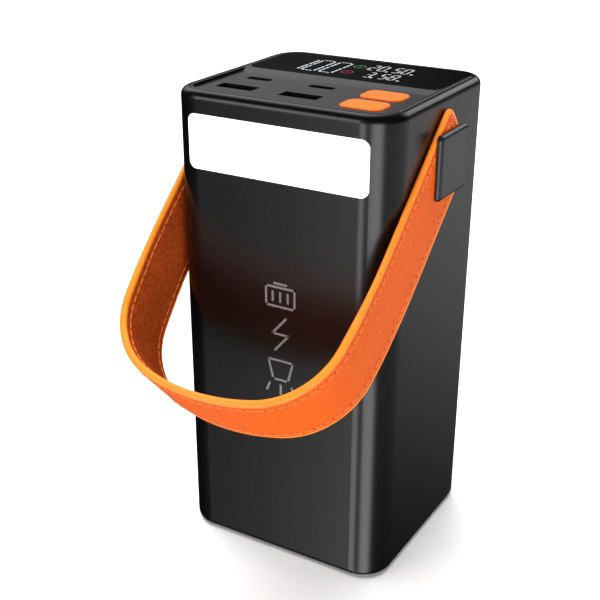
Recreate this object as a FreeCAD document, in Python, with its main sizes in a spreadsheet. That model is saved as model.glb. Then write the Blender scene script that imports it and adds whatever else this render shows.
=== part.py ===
import FreeCAD, Part

import math
import os

import Sketcher

# Camping power station with a lamp bar, a port tray and a carrying strap, in millimetres.
# Origin: centre of the rubber base pad's underside. +Z is up and the lamp is on the -Y side.

SIZES = [
    # shell
    ("body_width", 75.6), ("body_depth", 69.8), ("top_height", 155.0), ("base_lift", 0.5),
    ("corner_radius", 10.3), ("wall", 2.6), ("rim_fillet", 2.5), ("foot_fillet", 2.1),
    # clearances
    ("seam_gap", 0.12), ("fit_gap", 0.15), ("thread_gap", 0.02), ("pivot_gap", 0.1),
    # top cover, its port tray and the window behind it
    ("cover_thickness", 3.4), ("cover_chamfer", 0.3), ("cover_border", 1.3),
    ("tray_depth", 0.87), ("tray_radius", 3.4), ("tray_front_border", 2.7), ("slope_run", 2.5),
    ("glass_thickness", 1.4), ("glass_front", 2.9), ("glass_rear_border", 1.1), ("glass_radius", 4.2),
    ("window_side_border", 11.4), ("window_end_border", 2.65), ("window_radius", 1.0),
    # ports and buttons
    ("port_post_gap", 0.4), ("usb_a_inset", 9.6), ("usb_pitch", 12.6), ("usb_a_radius", 0.5),
    ("usb_a_width", 13.1), ("usb_a_length", 5.2), ("usb_c_width", 8.94), ("usb_c_length", 3.1),
    ("shell_sheet", 0.3), ("shell_margin", 0.25), ("tongue_width", 11.1), ("tongue_thickness", 1.9),
    ("tongue_height", 11.4), ("tongue_shift", 0.9), ("tongue_foot", 2.0), ("tongue_radius", 0.2),
    ("small_tongue_width", 6.6), ("small_tongue_thickness", 0.7),
    ("button_post_gap", 0.075), ("button_inset", 8.7), ("button_gap", 2.9),
    ("button_width", 13.75), ("button_length", 9.8), ("button_radius", 2.9), ("button_proud", 0.42),
    ("button_crown", 0.5), ("flange_margin", 0.75), ("flange_thickness", 0.8), ("flange_gap", 0.05),
    ("stem_radius", 1.6), ("stem_length", 1.8), ("plunger_radius", 1.3), ("plunger_length", 1.6),
    ("switch_size", 6.0), ("switch_height", 3.6), ("switch_bore_depth", 1.8),
    # boards inside
    ("board_thickness", 1.6), ("thin_board", 1.2), ("main_board_drop", 13.4),
    ("board_side_room", 6.0), ("board_front_room", 8.3), ("board_rear_room", 3.8),
    ("board_radius", 2.0), ("display_height", 6.5), ("display_drop", 0.2), ("display_margin", 0.5),
    ("pin_strip_width", 2.5), ("pin_inset", 10.5), ("pin_end_inset", 2.5),
    ("switch_board_width", 14.8), ("switch_board_front", 5.7), ("switch_board_rear", 11.4),
    ("coil_radius", 6.0), ("coil_height", 5.0), ("coil_row", 14.0), ("can_radius", 3.2),
    ("can_height", 8.0), ("can_row", 3.0), ("can_pitch", 7.5), ("can_column", 12.0), ("chip_height", 1.2),
    # posts, lugs and screws
    ("post_radius", 2.6), ("small_post_radius", 2.1), ("thin_post_radius", 1.8),
    ("cover_post_inset", 3.1), ("cover_post_front", 11.3), ("cover_post_rear", 8.3),
    ("lug_drop", 14.8), ("lug_thickness", 3.0), ("root", 0.5), ("wall_root", 0.3),
    ("lug_inset", 5.8), ("lug_width", 6.8), ("screw_radius", 1.2), ("screw_head_radius", 2.25),
    ("screw_head_height", 1.6), ("screw_bite", 6.0), ("screw_hole_radius", 1.45),
    ("board_post_row", 14.0), ("board_post_gap", 3.2), ("rear_post_side", 3.7), ("rear_post_end", 3.5),
    ("switch_post_near", 4.3), ("switch_post_far", 4.6), ("switch_post_row", 8.8),
    # lamp bar
    ("lamp_side_room", 7.05), ("lamp_height", 17.05), ("lamp_drop", 15.05), ("lamp_radius", 2.6),
    ("lens_margin", 1.5), ("lens_flange", 1.0), ("reflector_depth", 3.2), ("reflector_wall", 1.2),
    ("reflector_side_gap", 0.3), ("lamp_board_drop", 6.0), ("emitter_width", 2.8), ("emitter_height", 3.5),
    ("emitter_thickness", 0.8), ("emitter_end_room", 4.35), ("emitter_rows_apart", 7.4),
    ("lamp_screw_inset", 6.75),
    # strap and the caps that hold it
    ("pivot_drop", 20.0), ("strap_angle", 42.0), ("strap_width", 25.5), ("strap_ply", 0.9),
    ("strap_clearance", 0.2), ("strap_end", 11.6), ("strap_lead", 3.9), ("strap_bow", 59.4),
    ("side_radius", 258.0), ("shoulder_radius", 26.1), ("bottom_radius", 69.3),
    ("end_radius_upper", 3.4), ("end_radius_lower", 12.1), ("eyelet_radius", 5.6),
    ("boss_radius", 4.05), ("plate_side", 20.0), ("plate_thickness", 1.75), ("plate_radius", 1.6),
    ("plate_edge", 1.4), ("neck_side", 6.4), ("washer_radius", 6.2), ("washer_thickness", 1.0),
    # underside
    ("base_thickness", 2.4), ("pad_side_room", 8.2), ("pad_end_room", 8.3), ("pad_radius", 6.0),
    ("pad_thickness", 1.3), ("base_boss_inset", 4.3), ("base_boss_radius", 3.4),
    ("base_boss_height", 8.0), ("rest_side_inset", 3.0), ("rest_end_inset", 4.0), ("rest_wall", 1.6),
    ("rest_radius", 4.0),
    # cell pack
    ("cell_side_room", 5.2), ("cell_end_room", 4.2), ("headroom", 55.0), ("cell_radius", 2.0),
    ("seal_height", 3.0), ("seal_thickness", 0.8), ("seal_inset", 2.0), ("cell_gap", 0.3),
    ("foam_thickness", 0.8), ("foam_side_inset", 6.0), ("foam_end_inset", 8.0),
    ("cradle_wall", 1.4), ("cradle_radius", 3.0), ("cradle_rail", 4.0), ("cradle_frame", 12.0),
    ("pack_bottom", 11.5), ("clamp_thickness", 1.5), ("clamp_skirt", 3.0), ("clamp_wall", 0.5),
    ("clamp_rail", 5.0), ("stop_row", 14.0), ("stop_width", 6.0), ("stop_inset", 5.2),
    ("stop_thickness", 2.4), ("cell_board_side_inset", 5.0), ("cell_board_end_inset", 10.3),
    ("cell_board_lift", 2.0), ("cell_post_inset", 3.0), ("bar_width", 4.0),
    ("bar_thickness", 0.3), ("bar_column", 14.0), ("lead_radius", 1.1), ("lead_bend", 3.5),
    ("lead_column", 8.0), ("lead_side_room", 11.2), ("lead_inset", 6.0),
]

doc = FreeCAD.newDocument("power_station")
sheet = doc.addObject("Spreadsheet::Sheet", "sizes")
for row, (alias, value) in enumerate(SIZES, start=1):
    sheet.set(f"A{row}", alias)
    sheet.set(f"B{row}", str(value))
    sheet.setAlias(f"B{row}", alias)
gauge = doc.addObject("App::FeaturePython", "gauge")
gauge.addProperty("App::PropertyFloat", "reading")
doc.recompute()

nodes = []


def cell(text):
    """Turns {name} in an expression into a reference to the sheet."""
    return str(text).replace("{", "sizes.").replace("}", "")


def value_of(text):
    gauge.setExpression("reading", cell(text))
    gauge.recompute()
    return gauge.reading


def bind(thing, name, text):
    thing.setExpression(name, cell(text))


def keep(thing, label):
    """Marks an object as one finished piece, written to parts/LABEL.step."""
    thing.Label = label
    nodes.append(thing)
    return thing


# places that several pieces share
MIDDLE = "0"
TOP = "{top_height}"
TRAY_FLOOR = "({top_height} - {tray_depth})"
COVER_UNDER = "({top_height} - {cover_thickness})"
INNER_X = "({body_width} / 2 - {wall})"
INNER_Y = "({body_depth} / 2 - {wall})"
TRAY_FRONT = f"({INNER_Y} - {{tray_front_border}})"
GLASS_REAR = f"({INNER_Y} - {{glass_rear_border}})"
GLASS_MIDDLE = f"(({{glass_front}} + {GLASS_REAR}) / 2)"
WINDOW_WIDTH = f"(2 * ({INNER_X} - {{cover_border}} - {{window_side_border}}))"
WINDOW_LENGTH = f"({GLASS_REAR} - {{glass_front}} - 2 * {{window_end_border}})"
BOARD_TOP = f"({COVER_UNDER} - {{main_board_drop}})"
BOARD_UNDER = f"({BOARD_TOP} - {{board_thickness}})"
BOARD_SIDE = f"({INNER_X} - {{board_side_room}})"
BOARD_FRONT = f"({INNER_Y} - {{board_front_room}})"
BOARD_REAR = f"({INNER_Y} - {{board_rear_room}})"
FLANGE_TOP = f"({COVER_UNDER} - {{flange_gap}})"
STEM_FOOT = f"({FLANGE_TOP} - {{flange_thickness}} - {{stem_length}})"
SWITCH_TOP = f"({STEM_FOOT} - {{plunger_length}} / 2)"
SWITCH_FOOT = f"({SWITCH_TOP} - {{switch_height}})"
POST_COLUMN = f"({INNER_X} - {{cover_post_inset}})"
POST_SIDE = f"({POST_COLUMN} - {{post_radius}})"
PORT_COLUMN = f"({POST_SIDE} - {{port_post_gap}} - {{shell_margin}} - {{usb_a_width}} / 2)"
BUTTON_COLUMN = f"({POST_SIDE} - {{button_post_gap}} - {{flange_margin}} - {{button_width}} / 2)"
BUTTON_FRONT_ROW = f"({TRAY_FRONT} - {{button_inset}})"
BUTTON_REAR_ROW = f"({BUTTON_FRONT_ROW} - {{button_length}} - {{button_gap}})"
USB_A_ROW = f"({TRAY_FRONT} - {{usb_a_inset}})"
USB_C_ROW = f"({USB_A_ROW} - {{usb_pitch}})"
LUG_TOP = f"({COVER_UNDER} - {{lug_drop}})"
LAMP_WIDTH = "({body_width} - 2 * {lamp_side_room})"
LAMP_MIDDLE = "({top_height} - {lamp_drop})"
LAMP_SCREW = f"({LAMP_WIDTH} / 2 - {{lamp_screw_inset}})"
LAMP_SCREW_HEIGHT = f"({LAMP_MIDDLE} - {{lamp_height}} / 2 - {{lens_margin}} - {{lamp_board_drop}} / 2)"
LENS_BACK = f"({INNER_Y} - {{lens_flange}})"
LAMP_BACK = f"({LENS_BACK} - {{reflector_depth}} - 0.1)"
PIVOT = "({top_height} - {pivot_drop})"
STRAP_GAP = "(2 * {strap_ply} + 2 * {strap_clearance})"
STRAP_INSIDE = "({body_width} / 2 + {strap_clearance})"
STRAP_STRAIGHT = "({body_depth} / 2 + {strap_lead})"
STRAP_REACH = "({body_depth} / 2 + {strap_bow})"
CELL_WIDTH = f"(2 * ({INNER_X} - {{cell_side_room}}))"
CELL_THICKNESS = f"(2 * ({INNER_Y} - {{cell_end_room}}) / 5 - 4 * {{foam_thickness}} / 5)"
CELL_PITCH = f"({CELL_THICKNESS} + {{foam_thickness}})"
CELL_HEIGHT = "({top_height} - {headroom})"
CELL_FOOT = "({pack_bottom} + {cradle_wall})"
CELL_HEAD = f"({CELL_FOOT} + {CELL_HEIGHT})"
PACK_TOP = f"({CELL_HEAD} + {{seal_height}} + {{cell_gap}})"
PACK_X = f"({CELL_WIDTH} / 2 + {{cell_gap}} + {{cradle_wall}})"
PACK_Y = f"(2.5 * {CELL_THICKNESS} + 3 * {{foam_thickness}} + {{cradle_wall}})"
CLAMP_TOP = f"({PACK_TOP} + {{clamp_thickness}})"
CELL_BOARD_FOOT = f"({CLAMP_TOP} + {{cell_board_lift}})"
CELL_BOARD_WIDTH = f"({CELL_WIDTH} - 2 * {{cell_board_side_inset}})"
CELL_BOARD_LENGTH = f"(2 * ({PACK_Y} - {{cell_board_end_inset}}))"
LEAD_ROW = f"({CELL_BOARD_LENGTH} / 2 - {{lead_inset}})"
PAD_WIDTH = f"(2 * ({INNER_X} - {{pad_side_room}}))"
PAD_LENGTH = f"(2 * ({INNER_Y} - {{pad_end_room}}))"


class Moulding:
    """One PartDesign body, built up from sketches on its own origin planes."""

    def __init__(self, label):
        self.body = doc.addObject("PartDesign::Body", label)
        self.label = label
        self.count = 0

    def sketch(self, role, height=MIDDLE):
        plane = next(f for f in self.body.Origin.OriginFeatures if f.Role == role)
        self.count += 1
        outline = self.body.newObject("Sketcher::SketchObject", f"{self.label}_outline_{self.count}")
        outline.AttachmentSupport = (plane, [""])
        outline.MapMode = "FlatFace"
        bind(outline, "AttachmentOffset.Base.z", height)
        return outline

    def feature(self, kind, outline, length, back=False, both=False, through=False):
        made = self.body.newObject(f"PartDesign::{kind}", f"{self.label}_{kind.lower()}_{self.count}")
        made.Profile = outline
        made.Reversed = back
        made.SideType = "Symmetric" if both else "One side"
        if through:
            made.Type = "ThroughAll"
        else:
            bind(made, "Length", length)
        before = self.volume()
        self.body.Tip = made
        doc.recompute()
        if before and abs(self.volume() - before) < 1e-3:
            raise RuntimeError(f"{made.Name} changes nothing")
        return made

    def pad(self, outline, length, **how):
        return self.feature("Pad", outline, length, **how)

    def pocket(self, outline, length=MIDDLE, **how):
        return self.feature("Pocket", outline, length, **how)

    def volume(self):
        shape = self.body.Shape
        return 0 if shape.isNull() else shape.Volume

    def dress(self, kind, sizes, chosen):
        """Rounds or chamfers the edges that the test picks."""
        base = self.body.Tip
        names = [f"Edge{n}" for n, edge in enumerate(base.Shape.Edges, start=1) if chosen(edge)]
        if not names:
            raise RuntimeError(f"no edge to dress on {self.label}")
        self.count += 1
        made = self.body.newObject(f"PartDesign::{kind}", f"{self.label}_{kind.lower()}_{self.count}")
        made.Base = (base, names)
        bind(made, "Radius" if kind == "Fillet" else "Size", sizes)
        self.body.Tip = made
        doc.recompute()
        return made

    def slab(self, x, y, wide, deep, radius, low, high):
        outline = self.sketch("XY_Plane", low)
        rounded(outline, x, y, wide, deep, radius)
        return self.pad(outline, f"({high}) - ({low})")

    def hollow(self, x, y, wide, deep, radius, low, high):
        outline = self.sketch("XY_Plane", low)
        rounded(outline, x, y, wide, deep, radius)
        return self.pocket(outline, f"({high}) - ({low})", back=True)

    def posts(self, places, radius, low, high):
        outline = self.sketch("XY_Plane", low)
        for x, y in places:
            circle(outline, x, y, radius)
        return self.pad(outline, f"({high}) - ({low})")

    def drill(self, places, radius, low, high):
        outline = self.sketch("XY_Plane", low)
        for x, y in places:
            circle(outline, x, y, radius)
        return self.pocket(outline, f"({high}) - ({low})", back=True)

    def done(self):
        return keep(self.body, self.label)


def fix(outline, kind, terms, text=None):
    """Adds one constraint, bound to an expression when it has a size."""
    if text is None:
        outline.addConstraint(Sketcher.Constraint(kind, *terms))
        return
    number = value_of(text)
    index = outline.addConstraint(Sketcher.Constraint(kind, *terms, number))
    bind(outline, f"Constraints[{index}]", text)


def place(outline, geometry, point, x, y):
    """Fixes a point of the sketch at x, y from its origin."""
    for kind, text, axis in (("DistanceX", x, -2), ("DistanceY", y, -1)):
        if abs(value_of(text)) < 1e-9:
            fix(outline, "PointOnObject", (geometry, point, axis))
        else:
            fix(outline, kind, (-1, 1, geometry, point), text)


def circle(outline, x, y, radius):
    centre = FreeCAD.Vector(value_of(x), value_of(y), 0)
    ring = Part.Circle(centre, FreeCAD.Vector(0, 0, 1), value_of(radius))
    geometry = outline.addGeometry(ring, False)
    place(outline, geometry, 3, x, y)
    fix(outline, "Radius", (geometry,), radius)


def rounded(outline, x, y, wide, deep, radius):
    """A rectangle centred at x, y whose corners are arcs, or sharp when radius is 0."""
    cx, cy = value_of(x), value_of(y)
    w, d, r = value_of(wide) / 2, value_of(deep) / 2, value_of(radius)
    up = FreeCAD.Vector(0, 0, 1)
    spots = [(cx - w + r, cy - d), (cx + w - r, cy - d), (cx + w, cy - d + r), (cx + w, cy + d - r),
             (cx + w - r, cy + d), (cx - w + r, cy + d), (cx - w, cy + d - r), (cx - w, cy - d + r)]
    spots = [FreeCAD.Vector(a, b, 0) for a, b in spots]
    sides = [outline.addGeometry(Part.LineSegment(spots[n], spots[n + 1]), False)
             for n in (0, 2, 4, 6)]
    for n, side in enumerate(sides):
        fix(outline, "Vertical" if n % 2 else "Horizontal", (side,))
    if r > 0:
        middles = [(cx + w - r, cy - d + r), (cx + w - r, cy + d - r),
                   (cx - w + r, cy + d - r), (cx - w + r, cy - d + r)]
        arcs = []
        for n, (a, b) in enumerate(middles):
            ring = Part.Circle(FreeCAD.Vector(a, b, 0), up, r)
            start = (n - 1) * math.pi / 2
            arcs.append(outline.addGeometry(Part.ArcOfCircle(ring, start, start + math.pi / 2), False))
        for n in range(4):
            fix(outline, "Tangent", (sides[n], 2, arcs[n], 1))
            fix(outline, "Tangent", (arcs[n], 2, sides[(n + 1) % 4], 1))
        for n in range(3):
            fix(outline, "Equal", (arcs[0], arcs[n + 1]))
        fix(outline, "Radius", (arcs[0],), radius)
    else:
        for n in range(4):
            fix(outline, "Coincident", (sides[n], 2, sides[(n + 1) % 4], 1))
    fix(outline, "DistanceX", (-1, 1, sides[3], 1), f"{x} - ({wide}) / 2")
    fix(outline, "DistanceY", (-1, 1, sides[0], 1), f"{y} - ({deep}) / 2")
    fix(outline, "DistanceX", (sides[3], 1, sides[1], 1), wide)
    fix(outline, "DistanceY", (sides[0], 1, sides[2], 1), deep)


def stand(thing, x, y, z):
    for axis, text in zip("xyz", (x, y, z)):
        bind(thing, f"Placement.Base.{axis}", text)


def block(name, x, y, z, wide, deep, high):
    """A box centred at x, y and standing on z."""
    box = doc.addObject("Part::Box", name)
    for side, text in (("Length", wide), ("Width", deep), ("Height", high)):
        bind(box, side, text)
    stand(box, f"{x} - ({wide}) / 2", f"{y} - ({deep}) / 2", z)
    return box


TURNS = {"+Z": FreeCAD.Rotation(), "-Z": FreeCAD.Rotation(FreeCAD.Vector(1, 0, 0), 180),
         "+X": FreeCAD.Rotation(FreeCAD.Vector(0, 1, 0), 90),
         "-X": FreeCAD.Rotation(FreeCAD.Vector(0, 1, 0), -90),
         "-Y": FreeCAD.Rotation(FreeCAD.Vector(1, 0, 0), 90)}


def rod(name, x, y, z, radius, length, way="+Z"):
    bar = doc.addObject("Part::Cylinder", name)
    bar.Placement = FreeCAD.Placement(FreeCAD.Vector(), TURNS[way])
    bind(bar, "Radius", radius)
    bind(bar, "Height", length)
    stand(bar, x, y, z)
    return bar


def less(name, base, tool):
    made = doc.addObject("Part::Cut", name)
    made.Base = base
    made.Tool = tool
    return made


def join(name, pieces):
    made = doc.addObject("Part::MultiFuse", name)
    made.Shapes = pieces
    return made


def group(label, pieces):
    made = doc.addObject("Part::Compound", label)
    made.Links = pieces
    return keep(made, label)


def step_along(axis, text, way):
    """Adds a distance to one coordinate, in the direction of way."""
    sign = "+" if way[0] == "+" else "-"
    return lambda point: tuple(f"{p} {sign} {text}" if a == axis else p
                               for a, p in zip("XYZ", point))


def screw(name, point, length, way="+Z"):
    """A pan-head screw whose head seats at point and whose thread runs along way."""
    seat = step_along(way[1], "{screw_head_height}", {"+": "-", "-": "+"}[way[0]])(point)
    head = rod(f"{name}_head", *seat, "{screw_head_radius}", "{screw_head_height}", way)
    thread = rod(f"{name}_thread", *seat, "{screw_radius}", f"{{screw_head_height}} + {length}", way)
    socket = doc.addObject("Part::Prism", f"{name}_socket")
    socket.Polygon = 6
    socket.Placement = FreeCAD.Placement(FreeCAD.Vector(), TURNS[way])
    bind(socket, "Circumradius", "{screw_radius}")
    bind(socket, "Height", "{screw_head_height} * 0.6")
    stand(socket, *seat)
    return less(name, join(f"{name}_solid", [head, thread]), socket)


SIDES = (("left", -1), ("right", 1))
COVER_POSTS = [(f"({side} * {POST_COLUMN})", row) for _, side in SIDES
               for row in (f"({{cover_post_front}} - {INNER_Y})", f"({INNER_Y} - {{cover_post_rear}})")]
BOARD_POSTS = [(f"(-{PORT_COLUMN} / 2)", "(-{board_post_row})"),
               (f"({BUTTON_COLUMN} - {{switch_board_width}} / 2 - {{board_post_gap}})",
                "(-{board_post_row})"),
               (f"({{rear_post_side}} - {BOARD_SIDE})", f"({BOARD_REAR} - {{rear_post_end}})"),
               (f"({BOARD_SIDE} - {{rear_post_side}})", f"({BOARD_REAR} - {{rear_post_end}})")]
SWITCH_POSTS = [(f"({BUTTON_COLUMN} - {{switch_post_near}})", f"({{switch_post_row}} - {BUTTON_REAR_ROW})"),
                (f"({BUTTON_COLUMN} + {{switch_post_far}})", f"({{switch_post_row}} - {BUTTON_REAR_ROW})")]
BASE_BOSSES = [(f"({side} * ({INNER_X} - {{base_boss_inset}}))",
                f"({end} * ({INNER_Y} - {{base_boss_inset}}))")
               for side in (-1, 1) for end in (-1, 1)]
BUTTONS = (("rear", f"(-{BUTTON_REAR_ROW})"), ("front", f"(-{BUTTON_FRONT_ROW})"))
PORTS = (("left", f"(-{PORT_COLUMN})"), ("right", MIDDLE))


def is_level(edge, height):
    box = edge.BoundBox
    return abs(box.ZMin - height) < 1e-4 and abs(box.ZMax - height) < 1e-4


def make_housing():
    """Square-section moulded tube, open at both ends, with lugs and bosses on its walls."""
    m = Moulding("housing")
    m.slab(MIDDLE, MIDDLE, "{body_width}", "{body_depth}", "{corner_radius}", "{base_lift}", TOP)
    m.dress("Fillet", "{rim_fillet}", lambda e: is_level(e, value_of(TOP)))
    m.dress("Fillet", "{foot_fillet}", lambda e: is_level(e, value_of("{base_lift}")))
    m.hollow(MIDDLE, MIDDLE, f"2 * {INNER_X}", f"2 * {INNER_Y}", "{corner_radius} - {wall}",
             "{base_lift} - 1", f"{TOP} + 1")
    # lamp window, and the flat seat milled behind it
    window = m.sketch("XZ_Plane", "{body_depth} / 2 + 1")
    rounded(window, MIDDLE, LAMP_MIDDLE, LAMP_WIDTH, "{lamp_height}", "{lamp_radius}")
    m.pocket(window, "{wall} + 3")
    seat = m.sketch("XZ_Plane", INNER_Y)
    margin = "2 * ({lens_margin} + {fit_gap})"
    rounded(seat, MIDDLE, LAMP_MIDDLE, f"{LAMP_WIDTH} + {margin}", f"{{lamp_height}} + {margin}", "0")
    m.pocket(seat, "{lens_flange} + {reflector_depth} + 2")
    # square holes that keep the strap caps from turning
    holes = m.sketch("YZ_Plane")
    hole_side = "{neck_side} + 2 * {fit_gap}"
    rounded(holes, MIDDLE, PIVOT, hole_side, hole_side, "0")
    m.pocket(holes, both=True, through=True)
    # lugs that the top cover is screwed to from below
    lug_foot = f"({LUG_TOP} - {{lug_thickness}})"
    for _, side in SIDES:
        for _, row in COVER_POSTS[:2]:
            m.slab(f"({side} * ({INNER_X} - {{lug_inset}} / 2 + {{wall_root}}))", row,
                   "{lug_inset} + 2 * {wall_root}", "{lug_width}", "0", lug_foot, LUG_TOP)
    m.drill(COVER_POSTS, "{screw_hole_radius}", f"{lug_foot} - 1", f"{LUG_TOP} + 1")
    # stops above the cell pack
    stop_foot = f"({CLAMP_TOP} + {{fit_gap}})"
    for _, side in SIDES:
        for row in (-1, 1):
            m.slab(f"({side} * ({INNER_X} - {{stop_inset}} / 2 + {{wall_root}}))", f"({row} * {{stop_row}})",
                   "{stop_inset} + 2 * {wall_root}", "{stop_width}", "0", stop_foot,
                   f"{stop_foot} + {{stop_thickness}}")
    # corner bosses for the base cover
    foot = "{base_lift} + {base_thickness}"
    m.posts(BASE_BOSSES, "{base_boss_radius}", foot, f"{foot} + {{base_boss_height}}")
    m.drill(BASE_BOSSES, "{screw_radius} + {thread_gap}", foot, f"{foot} + {{base_boss_height}} - 1")
    # bosses for the lamp board
    bosses = m.sketch("XZ_Plane", f"{INNER_Y} + 0.5")
    for _, side in SIDES:
        circle(bosses, f"{side} * {LAMP_SCREW}", LAMP_SCREW_HEIGHT, "{post_radius}")
    m.pad(bosses, f"0.5 + {INNER_Y} - {LAMP_BACK}", back=True)
    pilots = m.sketch("XZ_Plane", LAMP_BACK)
    for _, side in SIDES:
        circle(pilots, f"{side} * {LAMP_SCREW}", LAMP_SCREW_HEIGHT, "{screw_radius} + {thread_gap}")
    m.pocket(pilots, "{lens_flange} + {reflector_depth}", back=True)
    return m.done()


def make_top_cover():
    """Inset cover: glass recess behind, shallow port tray in front, posts underneath."""
    m = Moulding("top_cover")
    wide = f"2 * ({INNER_X} - {{seam_gap}})"
    deep = f"2 * ({INNER_Y} - {{seam_gap}})"
    m.slab(MIDDLE, MIDDLE, wide, deep, "{corner_radius} - {wall} - {seam_gap}", COVER_UNDER, TOP)
    m.dress("Chamfer", "{cover_chamfer}", lambda e: is_level(e, value_of(TOP)))
    inside = f"2 * ({INNER_X} - {{cover_border}})"
    m.hollow(MIDDLE, GLASS_MIDDLE, inside, f"{GLASS_REAR} - {{glass_front}}", "{glass_radius}",
             f"{TOP} - {{glass_thickness}}", f"{TOP} + 1")
    m.hollow(MIDDLE, GLASS_MIDDLE, WINDOW_WIDTH, WINDOW_LENGTH, "{window_radius}", f"{COVER_UNDER} - 1", TOP)
    # tray floor with round front corners and square rear ones, then its sloping back
    m.hollow(MIDDLE, f"(-{TRAY_FRONT} / 2)", inside, TRAY_FRONT, "{tray_radius}", TRAY_FLOOR, f"{TOP} + 1")
    m.hollow(MIDDLE, "-{tray_radius}", inside, "2 * {tray_radius}", "0", TRAY_FLOOR, f"{TOP} + 1")
    slope = m.sketch("YZ_Plane")
    low, top, run = value_of(TRAY_FLOOR), value_of(TOP), value_of("{slope_run}")
    spots = [FreeCAD.Vector(0, low, 0), FreeCAD.Vector(run, top, 0), FreeCAD.Vector(0, top, 0)]
    sides = [slope.addGeometry(Part.LineSegment(spots[n], spots[(n + 1) % 3]), False) for n in range(3)]
    for n in range(3):
        fix(slope, "Coincident", (sides[n], 2, sides[(n + 1) % 3], 1))
    place(slope, sides[0], 1, MIDDLE, TRAY_FLOOR)
    fix(slope, "Horizontal", (sides[1],))
    fix(slope, "Vertical", (sides[2],))
    fix(slope, "DistanceX", (sides[1], 2, sides[1], 1), "{slope_run}")
    fix(slope, "DistanceY", (sides[2], 2, sides[2], 1), "{tray_depth}")
    m.pocket(slope, inside, both=True)
    # openings for the ports and the buttons
    for _, column in PORTS:
        m.hollow(column, f"(-{USB_A_ROW})", "{usb_a_width}", "{usb_a_length}", "{usb_a_radius}",
                 f"{COVER_UNDER} - 1", TOP)
        m.hollow(column, f"(-{USB_C_ROW})", "{usb_c_width}", "{usb_c_length}", "{usb_c_length} / 2 - 0.01",
                 f"{COVER_UNDER} - 1", TOP)
    for _, row in BUTTONS:
        m.hollow(BUTTON_COLUMN, row, "{button_width} + 2 * {fit_gap}", "{button_length} + 2 * {fit_gap}",
                 "{button_radius} + {fit_gap}", f"{COVER_UNDER} - 1", TOP)
    # posts: to the housing lugs, to the main board and to the switch board
    for places, radius, low in ((COVER_POSTS, "{post_radius}", LUG_TOP),
                                (BOARD_POSTS, "{small_post_radius}", BOARD_TOP),
                                (SWITCH_POSTS, "{thin_post_radius}", SWITCH_FOOT)):
        m.posts(places, radius, low, f"{COVER_UNDER} + {{root}}")
        m.drill(places, "{screw_radius} + {thread_gap}", low, f"{low} + {{screw_bite}} + {{root}}")
    return m.done()


def make_display():
    """Dark glass flush with the cover, and the lit digit block under it on its own board."""
    m = Moulding("display_glass")
    m.slab(MIDDLE, GLASS_MIDDLE, f"2 * ({INNER_X} - {{cover_border}} - {{fit_gap}})",
           f"{GLASS_REAR} - {{glass_front}} - 2 * {{fit_gap}}", "{glass_radius} - {fit_gap}",
           f"{TOP} - {{glass_thickness}}", TOP)
    m.done()
    top = f"({TOP} - {{glass_thickness}} - {{display_drop}})"
    foot = f"({top} - {{display_height}})"
    keep(block("display_module", MIDDLE, GLASS_MIDDLE, foot, f"{WINDOW_WIDTH} - 2 * {{display_margin}}",
               f"{WINDOW_LENGTH} - 2 * {{display_margin}}", "{display_height}"), "display_module")
    keep(block("display_board", MIDDLE, GLASS_MIDDLE, f"{foot} - {{thin_board}}", WINDOW_WIDTH,
               WINDOW_LENGTH, "{thin_board}"), "display_board")
    group("display_pins", [block(f"display_pins_{name}", f"({side} * ({WINDOW_WIDTH} / 2 - {{pin_inset}}))",
                                 GLASS_MIDDLE, BOARD_TOP, "{pin_strip_width}",
                                 f"{WINDOW_LENGTH} - 2 * {{pin_end_inset}}",
                                 f"{foot} - {{thin_board}} - {BOARD_TOP}") for name, side in SIDES])


def make_port(label, column, row, wide, deep, radius, tongue_wide, tongue_thick, tongue_shift):
    """A folded metal shell on the main board with a plastic tongue inside it."""
    kind, side = label
    m = Moulding(f"{kind}_shell_{side}")
    margin, sheet_metal = "{shell_margin}", "{shell_sheet}"
    top = f"({COVER_UNDER} - 0.1)"
    m.slab(column, row, f"{wide} + 2 * {margin}", f"{deep} + 2 * {margin}", radius, BOARD_TOP, top)
    m.hollow(column, row, f"{wide} + 2 * {margin} - 2 * {sheet_metal}",
             f"{deep} + 2 * {margin} - 2 * {sheet_metal}", f"{radius} - {sheet_metal}", BOARD_TOP,
             f"{top} + 1")
    m.done()
    t = Moulding(f"{kind}_tongue_{side}")
    t.slab(column, row, f"{wide} - 2 * {{fit_gap}}", f"{deep} - 2 * {{fit_gap}}",
           f"{radius} - {sheet_metal} - {{pivot_gap}}", BOARD_TOP, f"{BOARD_TOP} + {{tongue_foot}}")
    t.slab(column, f"{row} + {tongue_shift}", tongue_wide, tongue_thick, "{tongue_radius}",
           f"{BOARD_TOP} + 1", f"{BOARD_TOP} + {{tongue_height}}")
    t.done()


def make_ports():
    for side, column in PORTS:
        make_port(("usb_a", side), column, f"(-{USB_A_ROW})", "{usb_a_width}", "{usb_a_length}",
                  "{usb_a_radius} + {shell_margin}", "{tongue_width}", "{tongue_thickness}", "{tongue_shift}")
        make_port(("usb_c", side), column, f"(-{USB_C_ROW})", "{usb_c_width}", "{usb_c_length}",
                  "{usb_c_length} / 2 + {shell_margin} - 0.01", "{small_tongue_width}",
                  "{small_tongue_thickness}", MIDDLE)


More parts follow.
